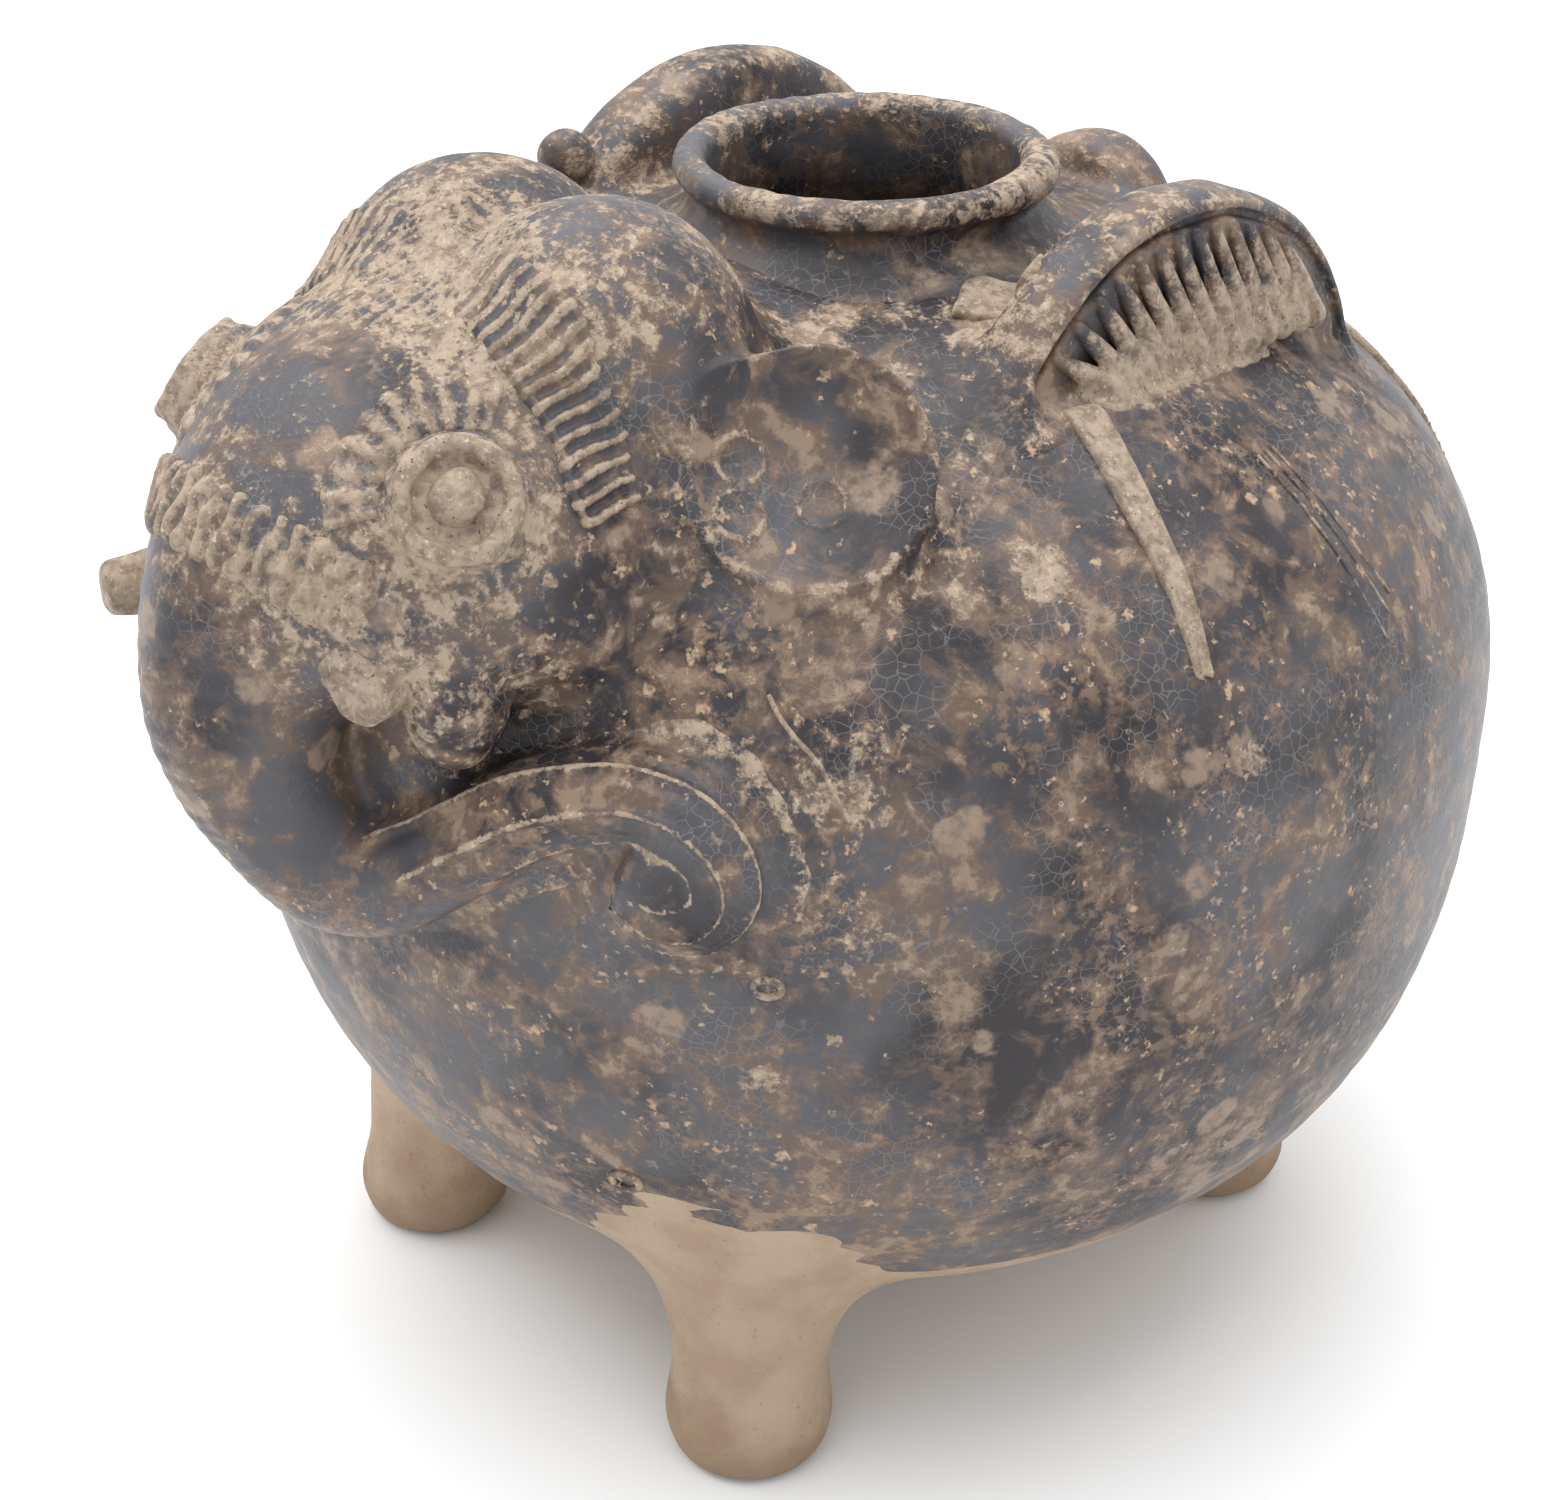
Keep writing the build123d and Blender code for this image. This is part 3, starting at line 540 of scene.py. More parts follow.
def clay_piece(name, form, low, high, step):
    """Mesh of the skin of a form, which is a function of x, y and z."""
    axes = [np.arange(a, b + step, step) for a, b in zip(low, high)]
    grid = np.meshgrid(*axes, indexing="ij", sparse=False)
    field = form(*grid).astype(np.float32)
    for side in range(3):
        edge = [slice(None)] * 3
        for end in (0, -1):
            edge[side] = end
            field[tuple(edge)] = np.maximum(field[tuple(edge)], 0.1)
    inside = field < 0
    size = [n - 1 for n in field.shape]
    count = np.zeros(size, np.int8)
    for i, j, k in CORNERS:
        count += inside[i:i + size[0], j:j + size[1], k:k + size[2]]
    cells = np.argwhere((count > 0) & (count < 8))
    number = np.full(size, -1, np.int64)
    number[tuple(cells.T)] = np.arange(len(cells))
    total = np.zeros((len(cells), 3))
    hits = np.zeros(len(cells))
    for first in CORNERS:
        for side in range(3):
            if first[side]:
                continue
            second = list(first)
            second[side] = 1
            a = field[tuple((cells + first).T)]
            b = field[tuple((cells + second).T)]
            cross = (a < 0) != (b < 0)
            share = np.where(cross, a / np.where(cross, a - b, 1), 0)
            spot = np.array(first, float) + np.zeros((len(cells), 3))
            spot[:, side] += share
            total += spot * cross[:, None]
            hits += cross
    points = (cells + total / hits[:, None]) * step + np.array([axis[0] for axis in axes])
    faces = []
    for side in range(3):
        u, v = (side + 1) % 3, (side + 2) % 3
        one = [slice(1, -1)] * 3
        one[side] = slice(0, -1)
        two = list(one)
        two[side] = slice(1, None)
        a, b = inside[tuple(one)], inside[tuple(two)]
        for flip, crossing in ((False, a & ~b), (True, ~a & b)):
            spots = np.argwhere(crossing)
            spots[:, u] += 1
            spots[:, v] += 1
            ring = []
            for du, dv in ((0, 0), (-1, 0), (-1, -1), (0, -1)):
                cell = spots.copy()
                cell[:, u] += du
                cell[:, v] += dv
                ring.append(number[tuple(cell.T)])
            quads = np.stack(ring if not flip else ring[::-1], axis=1)
            faces.append(quads)
    faces = np.concatenate(faces)
    piece = mesh_object(name, points, faces.tolist())
    return piece


# Feet, four short legs that lean in under the pot. Each was rolled, pressed
# on, smeared out on the base and stood on a board, so its pad bulges.
def foot_form(side, spread, reach):
    length = math.hypot(spread, reach)
    inward = (-side * spread / length, -reach / length)
    rings = ((0.0, 7.6, 0.0), (3.8, 9.1, 0.0), (10.0, 8.2, 0.1), (23.0, 10.4, 0.4), (36.0, 15.5, 1.0))
    heights = [ring[0] for ring in rings]
    smooth = np.linspace(0.0, 36.0, 73)
    radii = np.interp(smooth, heights, [ring[1] for ring in rings])
    leans = np.interp(smooth, heights, [ring[2] for ring in rings])
    kernel = np.hanning(13) / np.hanning(13).sum()
    radii = np.convolve(np.pad(radii, 6, mode="edge"), kernel, "valid")
    leans = np.convolve(np.pad(leans, 6, mode="edge"), kernel, "valid")

    def form(x, y, z):
        radius = np.interp(z, smooth, radii)
        lean = np.interp(z, smooth, leans) * 10.0
        away = np.hypot(x - side * spread - inward[0] * lean, y - reach - inward[1] * lean)
        leg = carve((away - radius) * 0.95, 0.15 - z, 1.6)
        return luted(leg, pot_skin(x, y, z), 7.0, 11.0)

    return form


for name, side, spread, reach in (
    ("foot_front_left", 1, 27.2, -40.5),
    ("foot_front_right", -1, 27.2, -40.5),
    ("foot_rear_left", 1, 28.5, 30.5),
    ("foot_rear_right", -1, 28.5, 30.5),
):
    x, y = side * spread, reach
    foot = clay_piece(name, foot_form(side, spread, reach), (x - 24, y - 24, -1.0), (x + 24, y + 24, 44.0), 0.6)
    roughen(foot, 0.4, 6.0)
    finish_piece(foot, clay, "bare_stoneware", name)


# Head, an egg of clay with two domes pressed up on its crown and a low boss
# under each eye, run on to the front of the pot. A comb was drawn through
# the valley between the domes.
head_center = (0.0, -46.0, 98.0)
dusty_spots = (
    (18.9, -66.0, 109.7, 11.0, 0.55),
    (13.0, -74.0, 103.0, 9.0, 0.5),
    (0.0, -79.0, 107.0, 9.0, 0.3),
    (3.0, -72.0, 113.0, 11.0, 0.2),
    (14.0, -64.0, 113.0, 8.0, 0.25),
    (16.0, -70.0, 96.0, 8.0, 0.45),
    (24.0, -62.0, 96.0, 6.0, 0.2),
    (0.0, -50.0, 123.0, 11.0, 0.3),
    (14.0, -54.0, 121.0, 10.0, 0.3),
    (36.0, 8.0, 113.0, 14.0, 0.1),
    (24.0, -9.0, 114.0, 8.0, 0.3),
    (30.0, -46.0, 104.0, 7.0, 0.2),
    (40.0, -53.0, 88.0, 6.0, 0.3),
    (46.0, -50.0, 79.0, 6.0, 0.25),
    (24.0, -60.0, 86.0, 7.0, 0.2),
    (17.0, -22.0, 114.5, 6.0, 0.3),
    (42.0, -34.0, 101.0, 7.0, 0.2),
)


def dust(points):
    """How tan the glaze is, round the places where it is worn or soil lodged."""
    total = np.zeros(len(points))
    for x, y, z, reach, amount in dusty_spots:
        side = np.abs(points[:, 0])
        away = (side - x) ** 2 + (points[:, 1] - y) ** 2 + (points[:, 2] - z) ** 2
        total = np.maximum(total, amount * np.exp(-away / reach ** 2))
    return total


def head_shape(x, y, z):
    """Distance out from the head, before it is smeared on to the pot."""
    crown = ball(x, y, z, head_center, (27.2, 33.6, 25.2))
    chin = ball(x, y, z, head_center, (27.2, 33.6, 12.0))
    egg = np.where(z >= head_center[2], crown, chin)
    side = np.abs(x)
    domes = ball(side, y, z, (8.4, -41.0, 114.0), (14.8, 14.8, 14.8))
    shape = smear(egg, domes, 3.5)
    boss = ball(side, y, z, (16.0, -61.0, 106.5), (6.0, 5.6, 5.6))
    return smear(shape, boss, 4.0)


def combing(x, y, z):
    """Depth of the comb's lines, which fan out forward from between the domes."""
    away = np.hypot(x, y + 40.0)
    angle = np.arctan2(x, -(y + 40.0))
    lines = np.cos(angle * 84.0 + 0.9 * np.sin(away * 0.45) + 0.6 * np.sin(away * 1.3 + angle * 5.0))
    fade = np.clip((away - 2.0) / 4.0, 0, 1) * np.clip((25.0 - away) / 8.0, 0, 1)
    fade = fade * np.clip((0.95 - np.abs(angle)) / 0.3, 0, 1) * np.clip((z - 112.0) / 5.0, 0, 1)
    return 0.2 * lines * fade


def head_form(x, y, z):
    return luted(head_shape(x, y, z) + combing(x, y, z), pot_skin(x, y, z), 6.0, 9.5, 3.0, 1.0)


head = clay_piece("head", head_form, (-42, -82, 76), (42, -14, 131), 0.46)
roughen(head, 0.35, 7.0, 0.0)
roughen(head, 0.12, 2.0, 0.0)
spots = vertices(head)
lined = combing(*spots.T)
# More wear towards the top of the head: partly wear on the domes, partly painted light, the crown made lighter as if
# lit by the lamp above.
crown_wear_and_top_light = np.clip((spots[:, 2] - 112.0) / 12.0, 0, 1) * 0.2
set_wear(head, dust(spots) + crown_wear_and_top_light + np.clip(-lined * 2.2, -0.1, 1) + 0.2 * (np.abs(lined) > 0.02))
finish_piece(head, head_glaze, "brown_glaze", "head", "forehead_left", "forehead_right")


# Trunk, a tapering coil that hangs from the face, bends to the elephant's
# left and is pressed on the chest in a spiral. Ridges run along it.
def on_pot(along, height, lift):
    """Point over the pot's skin, a length along the girth from the front."""
    above = height >= girth
    power = shoulder_power if above else bowl_power
    share = abs(height - girth) / (shoulder_rise if above else bowl_depth)
    radius = body_radius * (1 - share ** power) ** (1 / power) + lift
    azimuth = along / body_radius
    return (math.sin(azimuth) * radius, -math.cos(azimuth) * radius, height)


def smooth_path(points, count):
    """Evenly numbered points on a smooth curve through the given ones."""
    points = np.array([2 * np.array(points[0]) - points[1], *points, 2 * np.array(points[-1]) - points[-2]])
    made = []
    for share in np.linspace(0, len(points) - 3 - 1e-6, count):
        i = int(share)
        t = share - i
        a, b, c, d = points[i:i + 4]
        made.append(0.5 * (2 * b + (c - a) * t + (2 * a - 5 * b + 4 * c - d) * t * t + (3 * b - a - 3 * c + d) * t ** 3))
    return np.array(made)


def coil(x, y, z, path, radii, outward):
    """Distance out from a tapering coil, with the share along it and the angle round it.

    The angle is 0 on the coil's side and a quarter turn where it faces outward."""
    best = np.full(x.shape, 30.0)
    share = np.zeros(x.shape)
    angle = np.zeros(x.shape)
    lines = (x[:, 0, 0], y[0, :, 0], z[0, 0, :]) if x.ndim == 3 else None
    for i in range(len(path) - 1):
        start, step = path[i], path[i + 1] - path[i]
        if lines:
            near = [np.abs(line - spot) < radii[i] + 7.0 for line, spot in zip(lines, start)]
            if not all(part.any() for part in near):
                continue
            part = tuple(slice(np.argmax(side), len(side) - np.argmax(side[::-1])) for side in near)
        else:
            part = slice(None)
        p = np.stack([x[part] - start[0], y[part] - start[1], z[part] - start[2]])
        t = np.clip((p[0] * step[0] + p[1] * step[1] + p[2] * step[2]) / (step @ step), 0, 1)
        q = p - t * step.reshape((3,) + (1,) * (p.ndim - 1))
        way = step / np.linalg.norm(step)
        out = outward[i] - way * (outward[i] @ way)
        out = out / np.linalg.norm(out)
        across = np.cross(way, out)
        u = q[0] * across[0] + q[1] * across[1] + q[2] * across[2]
        v = q[0] * out[0] + q[1] * out[1] + q[2] * out[2]
        away = np.hypot(u, v) - (radii[i] + (radii[i + 1] - radii[i]) * t)
        away = np.maximum(away, np.sqrt(q[0] ** 2 + q[1] ** 2 + q[2] ** 2) - radii[i])
        closer = away < best[part]
        best[part] = np.where(closer, away, best[part])
        share[part] = np.where(closer, (i + t) / (len(path) - 1), share[part])
        angle[part] = np.where(closer, np.arctan2(v, u), angle[part])
    return best, share, angle


trunk_line = [(0, -64.0, 106.5, 10.2), (0, -72.6, 98.5, 9.8), (0, -75.6, 89.0, 8.8), (1.0, -74.0, 79.5, 7.3)]
trunk_chest = [
    (5.0, 73.2, 6.0, 6.2),
    (10.3, 72.9, 4.6, 5.3),
    (14.9, 75.6, 3.6, 5.0),
    (18.9, 78.6, 2.6, 4.8),
    (23.7, 82.0, 1.8, 4.6),
    (28.6, 84.0, 1.2, 4.4),
    (33.6, 84.8, 0.8, 4.2),
    (38.3, 83.8, 0.6, 4.0),
    (41.4, 80.9, 0.5, 3.7),
    (42.1, 77.4, 0.4, 3.3),
    (40.1, 74.2, 0.3, 2.8),
    (36.4, 73.0, 0.2, 2.3),
    (33.3, 74.2, 0.1, 1.8),
    (33.6, 76.8, -0.2, 1.7),
    (36.4, 77.6, -0.3, 1.5),
]
trunk_spots = [spot[:3] for spot in trunk_line] + [on_pot(*spot[:3]) for spot in trunk_chest]
trunk_steps = 110
trunk_path = smooth_path(trunk_spots, trunk_steps)
trunk_share = np.linspace(0, 1, trunk_steps)
trunk_sizes = [spot[3] for spot in trunk_line + trunk_chest]
trunk_radii = np.interp(trunk_share, np.linspace(0, 1, len(trunk_sizes)), trunk_sizes)
trunk_outward = trunk_path * (1, 1, 0)
trunk_outward /= np.linalg.norm(trunk_outward, axis=1)[:, None]


# angle round the trunk, start, end and height of each ridge
trunk_ridge_runs = ((152, 0.26, 0.98, 0.75), (93, 0.3, 0.95, 0.75), (36, 0.38, 0.95, 0.65), (110, 0.06, 0.24, 0.25))


def trunk_ridges(share, angle):
    """Height of the ridges along the trunk, which leave hollows between them."""
    height = np.zeros(share.shape)
    for place, first, last, rise in trunk_ridge_runs:
        turn = np.abs((np.degrees(angle) - place + 180) % 360 - 180)
        fade = np.clip((share - first) / 0.05, 0, 1) * np.clip((last - share) / 0.08, 0, 1)
        height = height + rise * fade * (np.exp(-(turn / 8.0) ** 2) - 0.75 * np.exp(-(turn / 26.0) ** 2))
    return height


def trunk_shape(x, y, z):
    away, share, angle = coil(x, y, z, trunk_path, trunk_radii, trunk_outward)
    return away - trunk_ridges(share, angle), share


def trunk_form(x, y, z):
    away, share = trunk_shape(x, y, z)
    web = ball(x, y, z, (7.5, -61.5, 82.5), (9.0, 7.0, 9.5))
    away = smear(away, web, 3.0)
    middle = on_pot(37.4, 77.6, 0.0)
    middle = np.sqrt((x - middle[0]) ** 2 + (y - middle[1]) ** 2 + (z - middle[2]) ** 2)
    away = smear(away, carve(pot_skin(x, y, z) - 2.3, middle - 5.0, 1.5), 1.2)
    skin = np.minimum(pot_skin(x, y, z), head_shape(x, y, z))
    soft = np.interp(share, (0.0, 0.06, 0.12, 0.25, 0.38, 1.0), (5.0, 4.0, 4.5, 4.5, 2.2, 1.2))
    return luted(away, skin, soft, 5.0, 2.5, 0.9)


trunk = clay_piece("trunk", trunk_form, (-16, -90, 62), (56, -42, 122), 0.38)
roughen(trunk, 0.3, 5.0, 0.0)
spots = vertices(trunk)
away, share, angle = coil(*spots.T, trunk_path, trunk_radii, trunk_outward)
skirt = np.clip((away - 0.5) / 1.5, 0, 1) * np.clip((share - 0.3) / 0.1, 0, 1)
set_wear(trunk, dust(spots) + np.clip(trunk_ridges(share, angle) * 4.0, -0.25, 0.65) + 0.4 * skirt)
finish_piece(trunk, head_glaze, "brown_glaze", "trunk")


# Trimmings on the face: lips, tusks, eyes and notched bands. Each is a small
# pellet or strip of clay, pressed on the head and cut across with a stick.
def pair(name, form, low, high, step, wear, material, slot, rough=(0.2, 2.0)):
    """The same trimming on the elephant's left and right."""
    for side, word in ((1, "left"), (-1, "right")):
        corners = sorted((side * low[0], side * high[0]))
        first, last = (corners[0], low[1], low[2]), (corners[1], high[1], high[2])
        piece = clay_piece(f"{name}_{word}", lambda x, y, z: form(side * x, y, z), first, last, step)
        roughen(piece, rough[0], rough[1], 0.0)
        spots = vertices(piece)
        set_wear(piece, dust(spots) + wear(spots * (side, 1, 1)))
        finish_piece(piece, material, slot, f"{name}_{word}")


def local(x, y, z, origin, out, up):
    """Place in a plane's own directions: up, across and out."""
    out = np.array(out) / np.linalg.norm(out)
    up = np.array(up) - out * np.dot(up, out)
    up /= np.linalg.norm(up)
    across = np.cross(out, up)
    p = (x - origin[0], y - origin[1], z - origin[2])
    return [p[0] * way[0] + p[1] * way[1] + p[2] * way[2] for way in (up, across, out)]


def face_skin(x, y, z):
    return smear(head_shape(x, y, z), trunk_shape(x, y, z)[0], 4.0)


def lip_form(x, y, z):
    lobe = ball(x, y, z, (18.0, -65.3, 92.0), (4.3, 4.8, 6.3))
    return luted(lobe, face_skin(x, y, z), 1.6, 3.0, 2.5, 0.4)


pair("lip", lip_form, (8, -78, 80), (28, -54, 104), 0.35, lambda p: 0.1, head_glaze, "brown_glaze")

tusk_way = np.array((math.sin(math.radians(17)), -math.cos(math.radians(17)), 0.0))
for word, side, length, tip, edge in (("left", 1, 1.9, 3.0, 0.5), ("right", -1, 7.0, 2.5, 0.9)):
    def tusk_form(x, y, z):
        up, across, out = local(side * x, y, z, (15.0, -72.2, 94.6), tusk_way, (0, 0, 1))
        radius = 3.2 + (tip - 3.2) * np.clip(out / length, 0, 1)
        peg = carve(np.hypot(up, across) - radius, out - length, edge)
        return luted(np.maximum(peg, -out - 6.0), face_skin(side * x, y, z), 1.0, 1.6, 2.5, 0.6)

    first, last = sorted((side * 7.0, side * 26.0))
    tusk = clay_piece(f"tusk_{word}", tusk_form, (first, -84, 86), (last, -62, 103), 0.3)
    roughen(tusk, 0.3, 1.6, 0.0)
    set_wear(tusk, np.full(len(tusk.data.vertices), 0.0))
    finish_piece(tusk, torn_clay, "broken_clay", f"tusk_{word}")

eye_place = (18.9, -64.6, 110.7)
eye_out = (0.702, -0.453, 0.549)


def eye_form(x, y, z):
    up, across, out = local(x, y, z, eye_place, eye_out, (0, 0, 1))
    away = np.hypot(up, across)
    boss = carve(away - 6.0, out - 1.0, 1.2)
    chips = 0.25 * lumps(np.stack([x, y, z], axis=-1), 1.7)
    ring = np.hypot(away - 4.7, out - 1.5) - 0.85 + chips
    dish = smear(boss, ring, 0.6)
    dish = carve(dish, -(np.hypot(np.hypot(up, across), out - 3.4) - 2.9), 0.6)
    return luted(dish, head_shape(x, y, z), 1.2, 2.4, 2.5, 0.4)


def pellet_form(x, y, z):
    up, across, out = local(x, y, z, eye_place, eye_out, (0, 0, 1))
    bead = ball(up, across, out, (0.2, 0.0, 1.0), (2.5, 2.3, 2.0))
    return np.maximum(bead, -out - 0.5)



def eye_wear(p):
    up, across, out = local(*p.T, eye_place, eye_out, (0, 0, 1))
    return np.interp(out, (0.0, 1.0, 1.6, 2.2), (-0.1, 0.0, 0.3, 0.7))


pair("eye_ring", eye_form, (8, -76, 100), (30, -53, 122), 0.3, eye_wear, worn_glaze, "worn_glaze", (0.4, 1.6))
pair("eye_pellet", pellet_form, (14, -71, 104), (25, -59, 117), 0.25, lambda p: 0.0, torn_clay, "broken_clay", (0.7, 1.3))


def ribs(along, pitch, thin=2.0):
    """Ribs across a band, from 0 in a notch to 1 on a rib."""
    return (0.5 + 0.5 * np.cos(along / pitch * math.tau)) ** thin


def band(skin, across, half_width, along, first, last, height, soft=1.0):
    """Strip of clay over a skin, between two lengths along it."""
    strip = carve(skin - height, np.abs(across) - half_width, soft)
    strip = carve(strip, np.maximum(first - along, along - last), soft)
    return np.maximum(strip, -(skin + 1.2))


def headband_place(x, y, z):
    along = np.arctan2(z - 98.0, x) * 27.0 + 0.15 * np.sin(y + z * 0.4) - 0.12 * (y + 52.5)
    return y + 52.5 + 0.3 * np.sin(z * 0.7), along


def headband_form(x, y, z):
    across, along = headband_place(x, y, z)
    fade = np.clip((34.0 - along) / 12.0, 0.2, 1)
    rail = np.exp(-((np.abs(across) - 2.7) / 0.35) ** 2)
    height = 0.15 + 0.75 * np.maximum(ribs(along, 1.8, 1.8), 0.7 * rail) * fade
    return band(head_shape(x, y, z), across, 3.1, along, 10.0, 36.0, height, 0.7)


def noseband_place(x, y, z):
    across = (y + 78.2) * 0.656 + (z - 107.5) * 0.755
    front = -(y + 57.7) * 0.755 + (z - 89.7) * 0.656
    return across, np.arctan2(x, front) * 27.2 + 0.3 * np.sin(across * 1.3 + x)


def noseband_form(x, y, z):
    across, along = noseband_place(x, y, z)
    height = 0.25 + 0.7 * ribs(along, 2.15, 0.9)
    return band(face_skin(x, y, z), across, 3.6, along, -19.0, 19.0, height, 1.2)


def brow_place(x, y, z):
    up, across, out = local(x, y, z, eye_place, eye_out, (0, 0, 1))
    return np.hypot(up, across), np.degrees(np.arctan2(across, up)) + 0.8 * np.sin(up + across)


def brow_form(x, y, z):
    away, angle = brow_place(x, y, z)
    along = angle / 13.5 + 0.15 * np.sin(away)
    height = 0.12 + 0.45 * ribs(along, 1.0, 0.45) * np.clip((12.2 - away) / 1.5, 0.2, 1)
    return band(head_shape(x, y, z), away - 9.0, 2.8, angle * 0.15, -4.2, 14.4, height)


def on_ribs(place, pitch, low=-0.3, high=0.6):
    """Wear that is high on the ribs and low in the notches between them."""
    return lambda p: low + (high - low) * ribs(place(*p.T)[1], pitch, 1.5)


pair("headband", headband_form, (2, -58, 100), (32, -46, 130), 0.3, on_ribs(headband_place, 1.8, -0.25, 0.5), worn_glaze, "worn_glaze", (0.22, 1.5))
pair("brow", brow_form, (3, -80, 98), (34, -50, 126), 0.3, on_ribs(brow_place, 13.5, -0.05, 0.3), worn_glaze, "worn_glaze", (0.25, 1.6))
noseband = clay_piece("noseband", noseband_form, (-24, -84, 90), (24, -60, 114), 0.3)
roughen(noseband, 0.3, 1.8, 0.0)
spots = vertices(noseband)
set_wear(noseband, dust(spots) + on_ribs(noseband_place, 2.15, -0.05, 0.35)(spots))
finish_piece(noseband, worn_glaze, "worn_glaze", "noseband")


# Ears, thin dished discs stood off the side of the head on a root of clay,
# each with three rings stamped in its hollow with a reed.
ear_place = (32.0, -36.5, 110.0)
ear_out = (math.cos(math.radians(33)) * math.sin(math.radians(48)), -math.cos(math.radians(33)) * math.cos(math.radians(48)), math.sin(math.radians(33)))
stamps = ((-3.9, 6.3), (-2.8, -0.8), (1.0, 6.3))


def ear_stamps(up, across):
    """Height of the stamped rings in the ear."""
    height = np.zeros(up.shape)
    for u, v in stamps:
        away = np.hypot(up - u, across - v)
        height = height + 0.45 * np.exp(-((away - 2.1) / 0.35) ** 2) - 0.35 * np.exp(-(away / 1.3) ** 2)
    return height


def ear_form(x, y, z):
    up, across, out = local(x, y, z, ear_place, ear_out, (0, 0, 1))
    away = np.hypot(up, across)
    hollow = out + 3.8 * (1 - (away / 11.0) ** 2) - ear_stamps(up, across)
    back = -(out + 3.8 * (1 - (away / 11.0) ** 2) + 2.2)
    disc = carve(carve(hollow, back, 0.8), away - 10.9, 0.8)
    root = carve(away - 6.5 + 0.1 * (out + 6.0), np.abs(out + 9.0) - 5.0, 1.0)
    skin = smear(head_shape(x, y, z), pot_skin(x, y, z), 5.0)
    return luted(smear(disc, root, 2.0), skin, 4.0, 5.0, 2.5)


def ear_wear(p):
    up, across, out = local(*p.T, ear_place, ear_out, (0, 0, 1))
    rim = np.exp(-((np.hypot(up, across) - 10.8) / 0.5) ** 2)
    return np.clip(ear_stamps(up, across) * 1.6, 0, 0.6) + 0.2 * rim - 0.2 * (np.hypot(up, across) < 10)


pair("ear", ear_form, (14, -56, 92), (48, -18, 126), 0.36, ear_wear, head_glaze, "brown_glaze", (0.2, 3.0))


# Harness: a roll on each shoulder with a fringe of teeth, a short roll
# behind the neck, a bead, and straps down the flanks. The left bead is lost,
# and its torn seat shows.
def roll_form(x, y, z):
    away = np.hypot(y - 8.5, z - 97.8)
    disc = carve(away - 26.8, np.abs(x - 31.8) - 4.3, 3.4)
    disc = carve(disc, np.minimum(25.2 - away, x - 34.4), 0.6)
    return luted(disc, pot_skin(x, y, z), 2.5, 4.0, 2.5)


def fringe_form(x, y, z):
    away = np.hypot(y - 8.5, z - 97.8)
    form = carve(away - 24.5, np.abs(x - 33.2) - 1.9, 0.6)
    for index in range(13):
        share = index / 12
        top_y, low_y = -9.5 + 31.0 * share, -4.2 + 28.8 * share
        top = np.array((35.3, top_y, 97.8 + math.sqrt(24.4 ** 2 - (top_y - 8.5) ** 2) - 0.7))
        step = np.array((37.2, low_y, 110.0)) - top
        t = np.clip(((x - top[0]) * step[0] + (y - top[1]) * step[1] + (z - top[2]) * step[2]) / (step @ step), 0, 1)
        away = np.sqrt((x - top[0] - t * step[0]) ** 2 + (y - top[1] - t * step[1]) ** 2 + (z - top[2] - t * step[2]) ** 2)
        form = smear(form, away - (0.65 + 0.8 * t), 0.25)
    return luted(form, pot_skin(x, y, z), 0.8, 1.6, 2.5)



def roll_wear(p):
    return 0.04 + 0.2 * np.exp(-((np.hypot(p[:, 1] - 8.5, p[:, 2] - 97.8) - 26.0) / 1.2) ** 2)


def fringe_wear(p):
    return np.interp(p[:, 0], (34.9, 35.5, 36.2, 38.0), (-0.7, -0.4, 0.2, 0.5))


pair("harness_roll", roll_form, (20, -26, 88), (44, 42, 128), 0.42, roll_wear, head_glaze, "brown_glaze", (0.4, 4.0))
pair("harness_fringe", fringe_form, (28, -14, 98), (43, 34, 122), 0.3, fringe_wear, worn_glaze, "worn_glaze")


def rear_roll_form(x, y, z):
    disc = carve(np.hypot(x, z - 107.4) - 10.2, np.abs(y - 34.2) - 3.75, 3.0)
    return luted(disc, pot_skin(x, y, z), 2.5, 4.0, 2.5)


def bead_form(x, y, z):
    bead = ball(x, y, z, (-31.8, -12.56, 117.44), (2.9, 2.9, 2.9))
    return luted(bead, roll_form(-x, y, z), 0.8, 1.4, 1.5, 0.2)


def tail_form(x, y, z):
    away, share, angle = coil(x, y, z, tail_path, tail_radii, tail_path * (1, 1, 0) / 60.0)
    tuft = ball(x, y, z, tail_path[-1], (3.2, 2.6, 4.2))
    return luted(smear(away, tuft, 1.0), pot_skin(x, y, z), 1.6, 2.6, 2.5)


tail_path = smooth_path([on_pot(0, z, 0.6) * np.array((1, -1, 1)) for z in (102, 94, 86, 78)], 16)
tail_radii = np.linspace(3.1, 1.9, 16)
for name, form, low, high in (
    ("harness_roll_rear", rear_roll_form, (-16, 24, 98), (16, 44, 121)),
    ("harness_bead_right", bead_form, (-37, -19, 111), (-26, -7, 122)),
    ("tail", tail_form, (-8, 44, 68), (8, 74, 108)),
):
    piece = clay_piece(name, form, low, high, 0.36)
    roughen(piece, 0.25, 3.0, 0.0)
    set_wear(piece, dust(vertices(piece)) + 0.08)
    finish_piece(piece, head_glaze, "brown_glaze", name)


